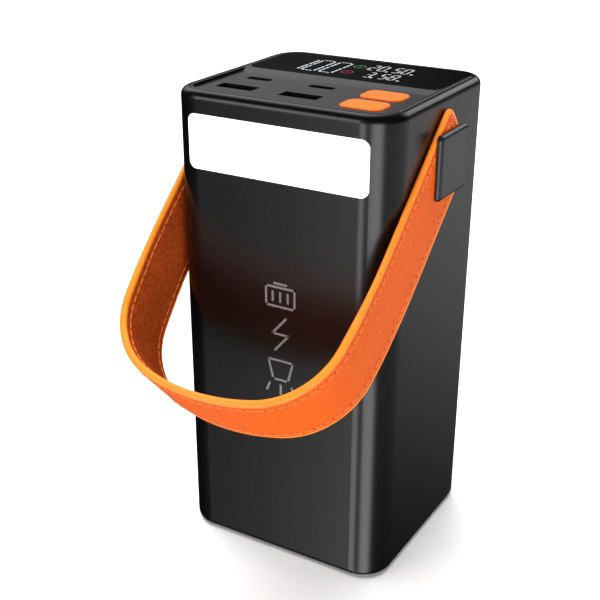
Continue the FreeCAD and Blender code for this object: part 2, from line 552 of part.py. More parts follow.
def make_buttons():
    """Caps that hang behind the cover by a flange, each pushing a small switch."""
    for name, row in BUTTONS:
        m = Moulding(f"button_cap_{name}")
        top = f"({TRAY_FLOOR} + {{button_proud}})"
        m.slab(BUTTON_COLUMN, row, "{button_width}", "{button_length}", "{button_radius}",
               f"{FLANGE_TOP} - {{flange_thickness}}", top)
        m.dress("Fillet", "{button_crown}", lambda e: is_level(e, value_of(top)))
        margin = "2 * {flange_margin}"
        m.slab(BUTTON_COLUMN, row, f"{{button_width}} + {margin}", f"{{button_length}} + {margin}",
               "{button_radius} + {flange_margin}", f"{FLANGE_TOP} - {{flange_thickness}}", FLANGE_TOP)
        m.posts([(BUTTON_COLUMN, row)], "{stem_radius}", STEM_FOOT, f"{FLANGE_TOP} - 0.1")
        m.done()
        keep(rod(f"switch_plunger_{name}", BUTTON_COLUMN, row, f"{STEM_FOOT} - {{plunger_length}}",
                 "{plunger_radius}", "{plunger_length}"), f"switch_plunger_{name}")
        case = block(f"switch_case_{name}", BUTTON_COLUMN, row, SWITCH_FOOT, "{switch_size}",
                     "{switch_size}", "{switch_height}")
        bore = rod(f"switch_bore_{name}", BUTTON_COLUMN, row, f"{SWITCH_TOP} - {{switch_bore_depth}}",
                   "{plunger_radius} + {pivot_gap}", "{switch_bore_depth} + 1")
        keep(less(f"switch_body_{name}", case, bore), f"switch_body_{name}")
    m = Moulding("switch_board")
    front = f"({BUTTON_FRONT_ROW} + {{switch_board_front}})"
    rear = f"({{switch_board_rear}} - {BUTTON_REAR_ROW})"
    m.slab(BUTTON_COLUMN, f"({rear} - {front}) / 2", "{switch_board_width}", f"{front} + {rear}",
           "{window_radius}", f"{SWITCH_FOOT} - {{thin_board}}", SWITCH_FOOT)
    m.drill(SWITCH_POSTS, "{screw_hole_radius}", f"{SWITCH_FOOT} - {{thin_board}} - 1", f"{SWITCH_FOOT} + 1")
    m.done()
    group("switch_screws", [screw(f"switch_screw_{n}", (x, y, f"{SWITCH_FOOT} - {{thin_board}}"),
                                  "{screw_bite} + {thin_board} - 1")
                            for n, (x, y) in enumerate(SWITCH_POSTS)])
    group("switch_spacers", [rod(f"switch_spacer_{name}", BUTTON_COLUMN, row, BOARD_TOP, "{stem_radius}",
                                 f"{SWITCH_FOOT} - {{thin_board}} - {BOARD_TOP}") for name, row in BUTTONS])


def make_main_board():
    m = Moulding("main_board")
    m.slab(MIDDLE, f"({BOARD_REAR} - {BOARD_FRONT}) / 2", f"2 * {BOARD_SIDE}",
           f"{BOARD_REAR} + {BOARD_FRONT}", "{board_radius}", BOARD_UNDER, BOARD_TOP)
    m.drill(BOARD_POSTS, "{screw_hole_radius}", f"{BOARD_UNDER} - 1", f"{BOARD_TOP} + 1")
    m.done()
    group("board_screws", [screw(f"board_screw_{n}", (x, y, BOARD_UNDER),
                                 "{screw_bite} + {board_thickness} - 1")
                           for n, (x, y) in enumerate(BOARD_POSTS)])
    chips = [(-20, -2, 7, 7), (-2, 1, 9, 9), (17, -4, 6, 5), (14, 12, 8, 5)]
    group("power_chips", [block(f"power_chip_{n}", x, y, f"{BOARD_UNDER} - {{chip_height}}", wide, deep,
                                "{chip_height}") for n, (x, y, wide, deep) in enumerate(chips)])
    coil = ("(-{coil_radius})", "{coil_row}", f"{BOARD_UNDER} - {{coil_height}}")
    core = rod("coil_core", *coil, "{coil_radius}", "{coil_height}")
    hole = rod("coil_hole", *coil, "{coil_radius} / 3", "{coil_height} * 0.8")
    keep(less("power_coil", core, hole), "power_coil")
    group("capacitors", [rod(f"capacitor_{n}", f"({{can_column}} + {n} * {{can_pitch}})", "{can_row}",
                             f"{BOARD_UNDER} - {{can_height}}", "{can_radius}", "{can_height}")
                         for n in range(2)])


def make_cover_screws():
    group("cover_screws", [screw(f"cover_screw_{n}", (x, y, f"({LUG_TOP} - {{lug_thickness}})"),
                                 "{lug_thickness} + {screw_bite}") for n, (x, y) in enumerate(COVER_POSTS)])


def make_lens():
    """Front follows the shell's outer surface; a flange behind keeps it from falling out."""
    gap = "2 * {fit_gap}"
    plug = Moulding("lens_plug")
    face = plug.sketch("XZ_Plane", LENS_BACK)
    rounded(face, MIDDLE, LAMP_MIDDLE, f"{LAMP_WIDTH} - {gap}", f"{{lamp_height}} - {gap}",
            "{lamp_radius} - {fit_gap}")
    plug.pad(face, f"{{body_depth}} / 2 - {LENS_BACK} + 1")
    shell = Moulding("lens_envelope")
    shell.slab(MIDDLE, MIDDLE, "{body_width}", "{body_depth}", "{corner_radius}",
               f"{LAMP_MIDDLE} - {{lamp_height}}", f"{LAMP_MIDDLE} + {{lamp_height}}")
    front = doc.addObject("Part::Common", "lens_front")
    front.Base = plug.body
    front.Tool = shell.body
    margin = "2 * {lens_margin}"
    flange = block("lens_flange_block", MIDDLE, f"(0.05 - {LENS_BACK} - {{lens_flange}} / 2)",
                   f"{LAMP_MIDDLE} - {{lamp_height}} / 2 - {{lens_margin}}", f"{LAMP_WIDTH} + {margin}",
                   "{lens_flange} - 0.1", f"{{lamp_height}} + {margin}")
    keep(join("light_lens", [front, flange]), "light_lens")


def make_light_parts():
    margin = "2 * {lens_margin}"
    low = f"({LAMP_MIDDLE} - {{lamp_height}} / 2 - {{lens_margin}})"
    wide = f"({LAMP_WIDTH} + {margin} - 2 * {{reflector_side_gap}})"
    middle_y = f"(-{LENS_BACK} + {{reflector_depth}} / 2)"
    outer = block("reflector_outer", MIDDLE, middle_y, low, wide, "{reflector_depth}",
                  f"{{lamp_height}} + {margin}")
    inner = block("reflector_inner", MIDDLE, middle_y, f"{low} + {{reflector_wall}}",
                  f"{wide} - 2 * {{reflector_wall}}", "{reflector_depth} + 2",
                  f"{{lamp_height}} + {margin} - 2 * {{reflector_wall}}")
    keep(less("light_reflector", outer, inner), "light_reflector")
    face_y = f"(-{LAMP_BACK})"
    board = block("lamp_board_plate", MIDDLE, f"({face_y} + {{thin_board}} / 2)",
                  f"{low} - {{lamp_board_drop}}",
                  LAMP_WIDTH, "{thin_board}", f"{{lamp_height}} + {margin} + {{lamp_board_drop}}")
    holes = [rod(f"lamp_hole_{name}", f"{side} * {LAMP_SCREW}", f"{face_y} + {{thin_board}} + 1",
                 LAMP_SCREW_HEIGHT, "{screw_hole_radius}", "{thin_board} + 2", "-Y") for name, side in SIDES]
    keep(less("light_board", board, join("lamp_holes", holes)), "light_board")
    emitters = []
    pitch = f"({LAMP_WIDTH} / 2 - {{emitter_end_room}}) / 4"
    for line in (-1, 1):
        for n in range(-4, 5):
            height = f"({LAMP_MIDDLE} + {line} * {{emitter_rows_apart}} / 2 - {{emitter_height}} / 2)"
            emitters.append(block(f"emitter_{n + 4}_{'low' if line < 0 else 'high'}", f"({n} * {pitch})",
                                  f"({face_y} - {{emitter_thickness}} / 2)", height, "{emitter_width}",
                                  "{emitter_thickness}", "{emitter_height}"))
    group("light_emitters", emitters)
    group("light_screws", [screw(f"light_screw_{name}", (f"{side} * {LAMP_SCREW}",
                                                         f"({face_y} + {{thin_board}})", LAMP_SCREW_HEIGHT),
                                 "{thin_board} + {reflector_depth}", "-Y") for name, side in SIDES])


def make_cell_pack():
    """Five flat pouch cells side by side in an open cradle, with a clamp and a board on top."""
    for n in range(5):
        m = Moulding(f"cell_{n + 1}")
        row = f"(({n - 2}) * {CELL_PITCH})"
        m.slab(MIDDLE, row, CELL_WIDTH, CELL_THICKNESS, "{cell_radius}", CELL_FOOT, CELL_HEAD)
        m.slab(MIDDLE, row, f"{CELL_WIDTH} - 2 * {{seal_inset}}", "{seal_thickness}", "0",
               f"{CELL_HEAD} - 1", f"{CELL_HEAD} + {{seal_height}}")
        m.done()
    group("foam_pads", [block(f"foam_pad_{n}", MIDDLE, f"(({n - 2.5}) * {CELL_PITCH})",
                              f"({CELL_FOOT} + {{foam_end_inset}})",
                              f"{CELL_WIDTH} - 2 * {{foam_side_inset}}", "{foam_thickness}",
                              f"{CELL_HEIGHT} - 2 * {{foam_end_inset}}") for n in range(6)])
    m = Moulding("cell_cradle")
    m.slab(MIDDLE, MIDDLE, f"2 * {PACK_X}", f"2 * {PACK_Y}", "{cradle_radius}", "{pack_bottom}", PACK_TOP)
    m.hollow(MIDDLE, MIDDLE, f"2 * ({PACK_X} - {{cradle_wall}})", f"2 * ({PACK_Y} - {{cradle_wall}})",
             "{cradle_radius} - {cradle_wall}", CELL_FOOT, f"{PACK_TOP} + 1")
    for role, wide in (("XZ_Plane", CELL_WIDTH), ("YZ_Plane", f"2 * {PACK_Y}")):
        window = m.sketch(role)
        for side in (-1, 1):
            rounded(window, f"({side}) * {wide} / 4", f"({CELL_FOOT} + {CELL_HEIGHT} / 2)",
                    f"{wide} / 2 - 2 * {{cradle_rail}}", f"{CELL_HEIGHT} - 2 * {{cradle_frame}}",
                    "{cradle_rail}")
        m.pocket(window, both=True, through=True)
    m.done()
    c = Moulding("cell_clamp")
    around = "({clamp_wall} + {pivot_gap})"
    c.slab(MIDDLE, MIDDLE, f"2 * ({PACK_X} + {around})", f"2 * ({PACK_Y} + {around})",
           f"{{cradle_radius}} + {around}", f"{PACK_TOP} - {{clamp_skirt}}", CLAMP_TOP)
    c.hollow(MIDDLE, MIDDLE, f"2 * ({PACK_X} + {{pivot_gap}})", f"2 * ({PACK_Y} + {{pivot_gap}})",
             "{cradle_radius} + {pivot_gap}", f"{PACK_TOP} - {{clamp_skirt}} - 1", PACK_TOP)
    c.hollow(MIDDLE, MIDDLE, f"{CELL_BOARD_WIDTH} - 14", f"2 * ({PACK_Y} - {{clamp_rail}})",
             "{cradle_radius}", f"{PACK_TOP} - 1", f"{CLAMP_TOP} + 1")
    feet = [(f"({side}) * ({CELL_BOARD_WIDTH} / 2 - {{cell_post_inset}})",
             f"({row}) * ({CELL_BOARD_LENGTH} / 2 - {{cell_post_inset}})")
            for side in (-1, 1) for row in (-1, 1)]
    c.posts(feet, "{small_post_radius}", PACK_TOP, CELL_BOARD_FOOT)
    c.done()
    keep(block("cell_board", MIDDLE, MIDDLE, CELL_BOARD_FOOT, CELL_BOARD_WIDTH, CELL_BOARD_LENGTH,
               "{board_thickness}"), "cell_board")
    for name, side in (("positive", -1), ("negative", 1)):
        keep(block(f"busbar_{name}", f"({side}) * {{bar_column}}", MIDDLE,
                   f"({CELL_HEAD} + {{seal_height}})", "{bar_width}",
                   f"4 * {CELL_PITCH} + {{bar_width}}", "{bar_thickness}"), f"busbar_{name}")
        make_lead(name, side)


def make_lead(name, side):
    """Insulated wire from the cell board up to the main board, with one easy jog."""
    m = Moulding(f"{name}_lead")
    foot = f"({CELL_BOARD_FOOT} + {{board_thickness}})"
    low, high, bend = value_of(foot), value_of(BOARD_UNDER), value_of("{lead_bend}")
    near, far = value_of("{lead_column}"), value_of(f"{BOARD_SIDE} - {{lead_side_room}}")
    level = (low + high) / 2
    route = m.sketch("XZ_Plane", LEAD_ROW)
    spots = [(near, low), (near, level - bend), (near + bend, level), (far - bend, level),
             (far, level + bend), (far, high)]
    spots = [FreeCAD.Vector(side * a, b, 0) for a, b in spots]
    shy = bend * (1 - math.sqrt(0.5))
    turns = [FreeCAD.Vector(side * (near + shy), level - shy, 0),
             FreeCAD.Vector(side * (far - shy), level + shy, 0)]
    runs = [Part.LineSegment(spots[0], spots[1]), Part.Arc(spots[1], turns[0], spots[2]),
            Part.LineSegment(spots[2], spots[3]), Part.Arc(spots[3], turns[1], spots[4]),
            Part.LineSegment(spots[4], spots[5])]
    for run in runs:
        route.addGeometry(run, False)
    sheath = m.sketch("XY_Plane", foot)
    circle(sheath, f"({side}) * {{lead_column}}", f"(-{LEAD_ROW})", "{lead_radius}")
    tube = m.body.newObject("PartDesign::AdditivePipe", f"{name}_tube")
    tube.Profile = sheath
    tube.Spine = (route, [f"Edge{n}" for n in range(1, 6)])
    m.body.Tip = tube
    doc.recompute()
    m.done()


def strap_arcs():
    """The loop's centre line: straight arm, a long easy arc, a shoulder and a wide bottom.

    The shoulder arc touches both its neighbours, which fixes the angle where it starts.
    """
    arm = value_of(f"{STRAP_INSIDE} + {{strap_ply}}")
    start, reach = value_of(STRAP_STRAIGHT), value_of(STRAP_REACH)
    long, short, wide = (value_of(t) for t in ("{side_radius}", "{shoulder_radius}", "{bottom_radius}"))
    side = FreeCAD.Vector(arm - long, -start, 0)
    bottom = FreeCAD.Vector(0, wide - reach, 0)
    gap = bottom - side
    cosine = ((long - short) ** 2 + gap.Length ** 2 - (wide - short) ** 2) / (2 * (long - short) * gap.Length)
    turn = math.acos(cosine) - math.atan2(gap.y, gap.x)
    shoulder = side + FreeCAD.Vector(math.cos(turn), -math.sin(turn), 0) * (long - short)
    lean = math.atan2(bottom.y - shoulder.y, shoulder.x)
    return (side, long, 0, turn), (shoulder, short, turn, lean), (bottom, wide, lean, math.pi - lean)


def make_strap():
    """Two plies swept round the loop, with trimmed ends and a riveted eyelet in each end."""
    end = "({strap_end})"
    arm = f"({STRAP_INSIDE} + {{strap_ply}})"
    arcs = strap_arcs()
    for label, side in (("strap_outer", 1), ("strap_lining", -1)):
        m = Moulding(label)
        curve = m.sketch("XY_Plane")
        x, top = value_of(arm), value_of(end)
        up = FreeCAD.Vector(0, 0, 1)
        foot = FreeCAD.Vector(x, arcs[0][0].y, 0)
        curve.addGeometry(Part.LineSegment(FreeCAD.Vector(x, top, 0), foot), False)
        right = [(c, r, -b, -a) for c, r, a, b in arcs[:2]]
        left = [(FreeCAD.Vector(-c.x, c.y, 0), r, math.pi + a, math.pi + b) for c, r, a, b in arcs[:2]]
        wide = (arcs[2][0], arcs[2][1], -math.pi + arcs[2][2], -arcs[2][2])
        for centre, radius, first, last in right + [wide] + left[::-1]:
            curve.addGeometry(Part.ArcOfCircle(Part.Circle(centre, up, radius), first, last), False)
        last_foot, last_end = FreeCAD.Vector(-foot.x, foot.y, 0), FreeCAD.Vector(-x, top, 0)
        curve.addGeometry(Part.LineSegment(last_foot, last_end), False)
        ply = m.sketch("XZ_Plane", f"-{end}")
        rounded(ply, f"({arm} + ({side}) * {{strap_ply}} / 2)", MIDDLE, "{strap_ply}", "{strap_width}", "0")
        band = m.body.newObject("PartDesign::AdditivePipe", f"{label}_band")
        band.Profile = ply
        band.Spine = (curve, [f"Edge{n}" for n in range(1, 8)])
        m.body.Tip = band
        doc.recompute()
        for sign, radius in ((1, "{end_radius_upper}"), (-1, "{end_radius_lower}")):
            rim = sign * value_of("{strap_width}") / 2
            m.dress("Fillet", radius, lambda e: is_level(e, rim) and abs(e.BoundBox.YMin - top) < 1e-4
                    and e.BoundBox.YLength < 1e-4)
        holes = m.sketch("YZ_Plane")
        circle(holes, MIDDLE, MIDDLE, "{eyelet_radius}")
        m.pocket(holes, both=True, through=True)
        m.body.Placement = FreeCAD.Placement(FreeCAD.Vector(), FreeCAD.Rotation(FreeCAD.Vector(1, 0, 0), 1))
        bind(m.body, "Placement.Rotation.Angle", "{strap_angle}")
        bind(m.body, "Placement.Base.z", PIVOT)
        m.done()
    for name, side in SIDES:
        face = f"({side}) * {STRAP_INSIDE}"
        way = "+X" if side > 0 else "-X"
        ring = rod(f"eyelet_ring_{name}", face, MIDDLE, PIVOT, "{eyelet_radius}", "2 * {strap_ply}", way)
        bore = rod(f"eyelet_bore_{name}", face, MIDDLE, PIVOT, "{boss_radius} + {pivot_gap}",
                   "2 * {strap_ply}", way)
        keep(less(f"eyelet_{name}", ring, bore), f"eyelet_{name}")


def make_strap_caps():
    """Square caps whose boss carries the strap and whose square neck is screwed from inside."""
    m = Moulding("anchor_plate_right")
    inside = f"({{body_width}} / 2 + {STRAP_GAP})"
    face = m.sketch("YZ_Plane", inside)
    rounded(face, MIDDLE, PIVOT, "{plate_side}", "{plate_side}", "{plate_radius}")
    m.pad(face, "{plate_thickness}")
    outside = value_of(f"{inside} + {{plate_thickness}}")
    m.dress("Fillet", "{plate_edge}", lambda e: abs(e.BoundBox.XMin - outside) < 1e-4)
    boss = m.sketch("YZ_Plane", "{body_width} / 2")
    circle(boss, MIDDLE, PIVOT, "{boss_radius}")
    m.pad(boss, f"{STRAP_GAP} + 0.1")
    neck = m.sketch("YZ_Plane", INNER_X)
    rounded(neck, MIDDLE, PIVOT, "{neck_side}", "{neck_side}", "0")
    m.pad(neck, "{wall} + 0.1")
    pilot = m.sketch("YZ_Plane", INNER_X)
    circle(pilot, MIDDLE, PIVOT, "{screw_radius} + {thread_gap}")
    m.pocket(pilot, f"{{wall}} + {STRAP_GAP}", back=True)
    m.done()
    mirror = doc.addObject("Part::Mirroring", "anchor_plate_left")
    mirror.Source = m.body
    mirror.Normal = FreeCAD.Vector(1, 0, 0)
    keep(mirror, "anchor_plate_left")
    washers = []
    screws = []
    for name, side in SIDES:
        way, back = ("+X", "-X") if side > 0 else ("-X", "+X")
        disc = rod(f"washer_disc_{name}", f"({side}) * {INNER_X}", MIDDLE, PIVOT, "{washer_radius}",
                   "{washer_thickness}", back)
        hole = rod(f"washer_hole_{name}", f"({side}) * ({INNER_X} + 1)", MIDDLE, PIVOT,
                   "{screw_hole_radius}", "{washer_thickness} + 2", back)
        washers.append(less(f"washer_{name}", disc, hole))
        screws.append(screw(f"anchor_screw_{name}", (f"({side}) * ({INNER_X} - {{washer_thickness}})", MIDDLE,
                                                     PIVOT), "{washer_thickness} + {wall} + 1", way))
    group("anchor_washers", washers)
    group("anchor_screws", screws)


def make_underside():
    """Inset base cover, its four screws and the rubber pad that hides them."""
    m = Moulding("base_cover")
    low, high = "{base_lift}", "({base_lift} + {base_thickness})"
    m.slab(MIDDLE, MIDDLE, f"2 * ({INNER_X} - {{seam_gap}})", f"2 * ({INNER_Y} - {{seam_gap}})",
           "{corner_radius} - {wall} - {seam_gap}", low, high)
    ring = "({pack_bottom} - {fit_gap})"
    rest_width = f"({PAD_WIDTH} - 2 * {{rest_side_inset}})"
    rest_length = f"({PAD_LENGTH} - 2 * {{rest_end_inset}})"
    m.slab(MIDDLE, MIDDLE, rest_width, rest_length, "{rest_radius}", f"{high} - {{root}}", ring)
    m.hollow(MIDDLE, MIDDLE, f"{rest_width} - 2 * {{rest_wall}}", f"{rest_length} - 2 * {{rest_wall}}",
             "{rest_radius} - {rest_wall}", high, f"{ring} + 1")
    m.hollow(MIDDLE, MIDDLE, f"{PAD_WIDTH} + 2 * {{fit_gap}}", f"{PAD_LENGTH} + 2 * {{fit_gap}}",
             "{pad_radius} + {fit_gap}", f"{low} - 1", "{pad_thickness}")
    m.drill(BASE_BOSSES, "{screw_hole_radius}", f"{low} - 1", f"{high} + 1")
    m.drill(BASE_BOSSES, "{screw_head_radius} + {fit_gap}", f"{low} - 1", f"{low} + {{screw_head_height}}")
    m.done()
    group("base_screws", [screw(f"base_screw_{n}", (x, y, f"{low} + {{screw_head_height}}"),
                                "{base_thickness} - {screw_head_height} + {screw_bite}")
                          for n, (x, y) in enumerate(BASE_BOSSES)])
    pad = Moulding("base_pad")
    pad.slab(MIDDLE, MIDDLE, PAD_WIDTH, PAD_LENGTH, "{pad_radius}", MIDDLE, "{pad_thickness}")
    pad.done()


def finish():
    doc.removeObject(gauge.Name)
    doc.recompute()
    for thing in doc.Objects:
        if "Invalid" in thing.State or "Error" in thing.State:
            raise RuntimeError(f"{thing.Name} failed: {thing.State}")
    os.makedirs("parts", exist_ok=True)
    for thing in nodes:
        if thing.Shape.isNull() or not thing.Shape.isValid():
            raise RuntimeError(f"{thing.Label} has no valid shape")
    for thing in nodes:
        thing.Shape.exportStep(f"parts/{thing.Label}.step")
        print(thing.Label, len(thing.Shape.Solids), round(thing.Shape.Volume, 1))


make_housing()
make_top_cover()
make_display()
make_ports()
make_buttons()
make_main_board()
make_cover_screws()
make_lens()
make_light_parts()
make_cell_pack()
make_strap()
make_strap_caps()
make_underside()
finish()
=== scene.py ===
"""A portable power station with a leather carry strap: finishes, fine details and studio."""

import math

import bmesh
import bpy
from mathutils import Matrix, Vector


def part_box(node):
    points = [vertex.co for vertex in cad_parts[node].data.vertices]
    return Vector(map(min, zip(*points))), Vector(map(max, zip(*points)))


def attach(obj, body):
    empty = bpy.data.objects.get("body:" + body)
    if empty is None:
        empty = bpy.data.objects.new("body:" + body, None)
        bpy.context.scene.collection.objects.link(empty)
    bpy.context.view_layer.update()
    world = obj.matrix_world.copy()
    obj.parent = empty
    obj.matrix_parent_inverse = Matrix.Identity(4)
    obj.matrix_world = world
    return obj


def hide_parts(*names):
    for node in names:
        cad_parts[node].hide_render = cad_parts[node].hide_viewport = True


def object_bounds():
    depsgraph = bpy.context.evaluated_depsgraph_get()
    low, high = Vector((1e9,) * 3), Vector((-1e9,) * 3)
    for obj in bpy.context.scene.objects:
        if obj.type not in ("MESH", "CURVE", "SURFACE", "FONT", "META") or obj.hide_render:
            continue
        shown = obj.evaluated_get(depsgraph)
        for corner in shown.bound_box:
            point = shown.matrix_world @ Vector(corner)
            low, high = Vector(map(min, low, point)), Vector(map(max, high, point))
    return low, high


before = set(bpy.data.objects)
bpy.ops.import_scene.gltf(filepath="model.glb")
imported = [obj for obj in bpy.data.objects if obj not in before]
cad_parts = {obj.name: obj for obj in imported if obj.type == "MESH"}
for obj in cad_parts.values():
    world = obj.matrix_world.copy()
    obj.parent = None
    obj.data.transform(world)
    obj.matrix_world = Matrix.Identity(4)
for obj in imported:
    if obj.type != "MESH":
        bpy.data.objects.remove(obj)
cad_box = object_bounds()


# Camera. It looks down at the lamp side from ahead and from the right, with a short
# telephoto lens, so that the front, the right side and the top all show.
CAMERA_PLACE = (0.1637, -0.2976, 0.2304)
CAMERA_HEADING = math.radians(30.83)
CAMERA_DIP = math.radians(25.49)

camera_data = bpy.data.cameras.new("studio_camera")
camera_data.sensor_width = 36
camera_data.lens = 65.93
camera_data.shift_x = 0.0087
camera_data.shift_y = 0.0545
camera = bpy.data.objects.new("studio_camera", camera_data)
camera.location = CAMERA_PLACE
camera.rotation_euler = (math.pi / 2 - CAMERA_DIP, 0, CAMERA_HEADING)
bpy.context.collection.objects.link(camera)
bpy.context.scene.camera = camera
bpy.context.scene.view_settings.view_transform = "Standard"


# Studio. A pale paper floor under two soft boxes, in a dim room whose wall glows in soft
# patches. The black shell mirrors the patches as grey bands. Paper, wall and finishes are
# all recipes of shader nodes.
class Tone:
    """A node's output that sums can be written with: each operator adds its Math node."""

    def __init__(self, recipe, socket):
        self.recipe = recipe
        self.socket = socket

    def maths(self, operation, *values):
        return self.recipe.add("Math", {"operation": operation}, dict(enumerate(values)))

    def __add__(self, other):
        return self.maths("ADD", self, other)

    def __radd__(self, other):
        return self.maths("ADD", other, self)

    def __sub__(self, other):
        return self.maths("SUBTRACT", self, other)

    def __rsub__(self, other):
        return self.maths("SUBTRACT", other, self)

    def __mul__(self, other):
        return self.maths("MULTIPLY", self, other)

    def __rmul__(self, other):
        return self.maths("MULTIPLY", other, self)


class Recipe:
    """The nodes of one finish or of the surroundings."""

    def __init__(self, tree):
        self.tree = tree

    def add(self, kind, settings, values, output=0):
        """Adds a node: first its settings, a ramp's stops among them, then its sockets."""
        node = self.tree.nodes.new("ShaderNode" + kind)
        for name, setting in settings.items():
            if name == "stops":
                self.set_stops(node.color_ramp, setting)
            else:
                setattr(node, name, setting)
        for name, value in values.items():
            self.feed(node.inputs[name], value)
        return Tone(self, node.outputs[output])

    def feed(self, socket, value):
        if isinstance(value, Tone):
            self.tree.links.new(value.socket, socket)
        else:
            socket.default_value = value

    def set_stops(self, ramp, stops):
        for place, colour in stops[2:]:
            ramp.elements.new(place)
        for element, (place, colour) in zip(ramp.elements, stops):
            element.position = place
            element.color = colour

    def mix(self, mask, first, second):
        """One colour where the mask is 0 and another where it is 1."""
        return self.add("Mix", {"data_type": "RGBA"}, {0: mask, 6: first, 7: second}, output=2)

    def step(self, value, start, end, low=0.0, high=1.0):
        """Goes smoothly from low to high as the value goes from start to end."""
        return self.add(
            "MapRange",
            {"interpolation_type": "SMOOTHSTEP"},
            {"Value": value, "From Min": start, "From Max": end, "To Min": low, "To Max": high},
        )


class Finish(Recipe):
    """A material: one Principled surface, and the nodes that vary it."""

    def __init__(self, name):
        self.material = bpy.data.materials.new(name)
        self.material.use_nodes = True
        super().__init__(self.material.node_tree)
        self.surface = self.tree.nodes["Principled BSDF"]
        self.place = self.add("TexCoord", {}, {}, output=3)

    def coat(self, values):
        """Sets the surface's own sockets."""
        for name, value in values.items():
            self.feed(self.surface.inputs[name], value)
        return self

    def noise(self, size, detail=3.0, roughness=0.5):
        """Cloudy variation about 0.5, with patches of the given size in metres."""
        return self.add(
            "TexNoise",
            {},
            {"Vector": self.place, "Scale": 1 / size, "Detail": detail, "Roughness": roughness},
        )

    def bump(self, height, depth, strength=1.0):
        """A surface that rises by depth metres where height goes from 0 to 1."""
        return self.add(
            "Bump", {}, {"Height": height, "Distance": depth, "Strength": strength}
        )


def paint(red, green, blue):
    """A colour for a shader, from the numbers 0 to 255 of a paint chart."""
    return tuple(
        (v / 12.92 if v <= 0.04045 else ((v + 0.055) / 1.055) ** 2.4)
        for v in (red / 255, green / 255, blue / 255)
    ) + (1.0,)


FLOOR_REACH = 6.0
FLOOR_CELLS = 12

floor_mesh = bpy.data.meshes.new("studio_floor")
form = bmesh.new()
bmesh.ops.create_grid(form, x_segments=FLOOR_CELLS, y_segments=FLOOR_CELLS, size=FLOOR_REACH)
form.to_mesh(floor_mesh)
form.free()
floor = bpy.data.objects.new("studio_floor", floor_mesh)
floor.location.z = cad_box[0].z - 0.0001
floor.visible_glossy = False
floor.visible_shadow = False
bpy.context.collection.objects.link(floor)

paper = Finish("paper")
paper_fibre = paper.noise(0.002, detail=4)
paper.coat(
    {
        "Base Color": paper.mix(paper_fibre, paint(246, 246, 246), paint(250, 250, 250)),
        "Roughness": 0.9,
        "Specular IOR Level": 0.1,
    }
)
floor_mesh.materials.append(paper.material)

world = bpy.data.worlds.new("studio_light")
world.use_nodes = True
bpy.context.scene.world = world
air = Recipe(world.node_tree)
direction = air.add("TexCoord", {}, {}, output=0)
east = air.add("SeparateXYZ", {}, {0: direction}, output=0)
north = air.add("SeparateXYZ", {}, {0: direction}, output=1)
height = air.add("SeparateXYZ", {}, {0: direction}, output=2)
bearing = east.maths("ARCTAN2", east, -1 * north) * math.degrees(1)
back_bearing = east.maths("ARCTAN2", east, north) * math.degrees(1)
elevation = height.maths("ARCSINE", height) * math.degrees(1)


def window(value, low, high, edge):
    """1 between two bearings or elevations, with a soft edge each side."""
    rise = air.step(value, low - edge, low + edge)
    fall = air.step(value, high - edge, high + edge, 1, 0)
    return rise * fall


def glow_patch(turned, bearings, elevations, edges, brightness):
    """A soft bright patch of the studio wall."""
    across = window(turned, *bearings, edges[0])
    up = window(elevation, *elevations, edges[1])
    return across * up * brightness


DIM_AIR = 0.004

studio_glow = (
    DIM_AIR
    + glow_patch(bearing, (-42, -24), (3, 30), (4, 3), 4.4)
    + glow_patch(bearing, (-21, -8), (-60, 2), (6, 8), 5.0)
    + glow_patch(bearing, (-36, -14), (-60, 2), (3, 8), 0.16)
    + glow_patch(bearing, (14, 50), (-60, 8), (6, 14), 4.0)
    + glow_patch(bearing, (60, 175), (-24, -4), (20, 14), 0.8)
    + glow_patch(back_bearing, (-8, 22), (15, 32), (4, 4), 2.3)
    + glow_patch(back_bearing, (-74, -24), (20, 64), (7, 15), 1.6)
)
backdrop = world.node_tree.nodes["Background"]
air.feed(backdrop.inputs["Color"], (1, 1, 1, 1))
air.feed(backdrop.inputs["Strength"], studio_glow)


def soft_panel(name, place, aim, width, height, power):
    """A soft box: a glowing rectangle, facing the point aimed at, that gloss doesn't mirror."""
    light = bpy.data.lights.new(name, "AREA")
    light.shape = "RECTANGLE"
    light.size = width
    light.size_y = height
    light.energy = power
    panel = bpy.data.objects.new(name, light)
    panel.location = place
    panel.rotation_euler = (Vector(aim) - Vector(place)).to_track_quat("-Z", "Y").to_euler()
    panel.visible_camera = False
    panel.visible_glossy = False
    bpy.context.collection.objects.link(panel)
    return panel


soft_panel("panel_above", (-0.35, 0.25, 1.5), (0, 0, 0.0), 1.8, 1.8, 62)
soft_panel("panel_right", (1.2, -0.9, 0.75), (0, 0, 0.08), 0.9, 0.9, 12)


# Shell. A square tube moulded in black satin plastic, open at both ends. The base cover
# closes it from below and is screwed into the bosses in its corners.
def dress(finish, *names):
    """Gives CAD nodes a finish."""
    for name in names:
        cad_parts[name].data.materials[0] = finish.material


def moulded(name, dark, light, roughness, grain_size, grain_depth):
    """Moulded or painted stuff: two close shades in slow clouds, under a fine grain."""
    finish = Finish(name)
    clouds = finish.noise(0.02, detail=4)
    grain = finish.noise(grain_size, detail=3, roughness=0.6)
    finish.coat(
        {
            "Base Color": finish.mix(clouds, dark, light),
            "Roughness": roughness + (grain - 0.5) * 0.12,
            "Normal": finish.bump(grain, grain_depth),
        }
    )
    return finish


SHELL_DARK = (0.0012, 0.0012, 0.0014, 1)
SHELL_LIGHT = (0.0019, 0.0019, 0.0021, 1)

shell = moulded("satin_shell", SHELL_DARK, SHELL_LIGHT, 0.28, 0.0003, 0.0000003)
dress(shell, "housing", "base_cover")


# Top cover. A moulded lid let into the shell's top and screwed up from inside, with a
# shallow tray round the ports and the buttons. It is a shade more matt than the shell.
COVER_DARK = (0.0016, 0.0016, 0.0018, 1)
COVER_LIGHT = (0.0026, 0.0026, 0.0028, 1)

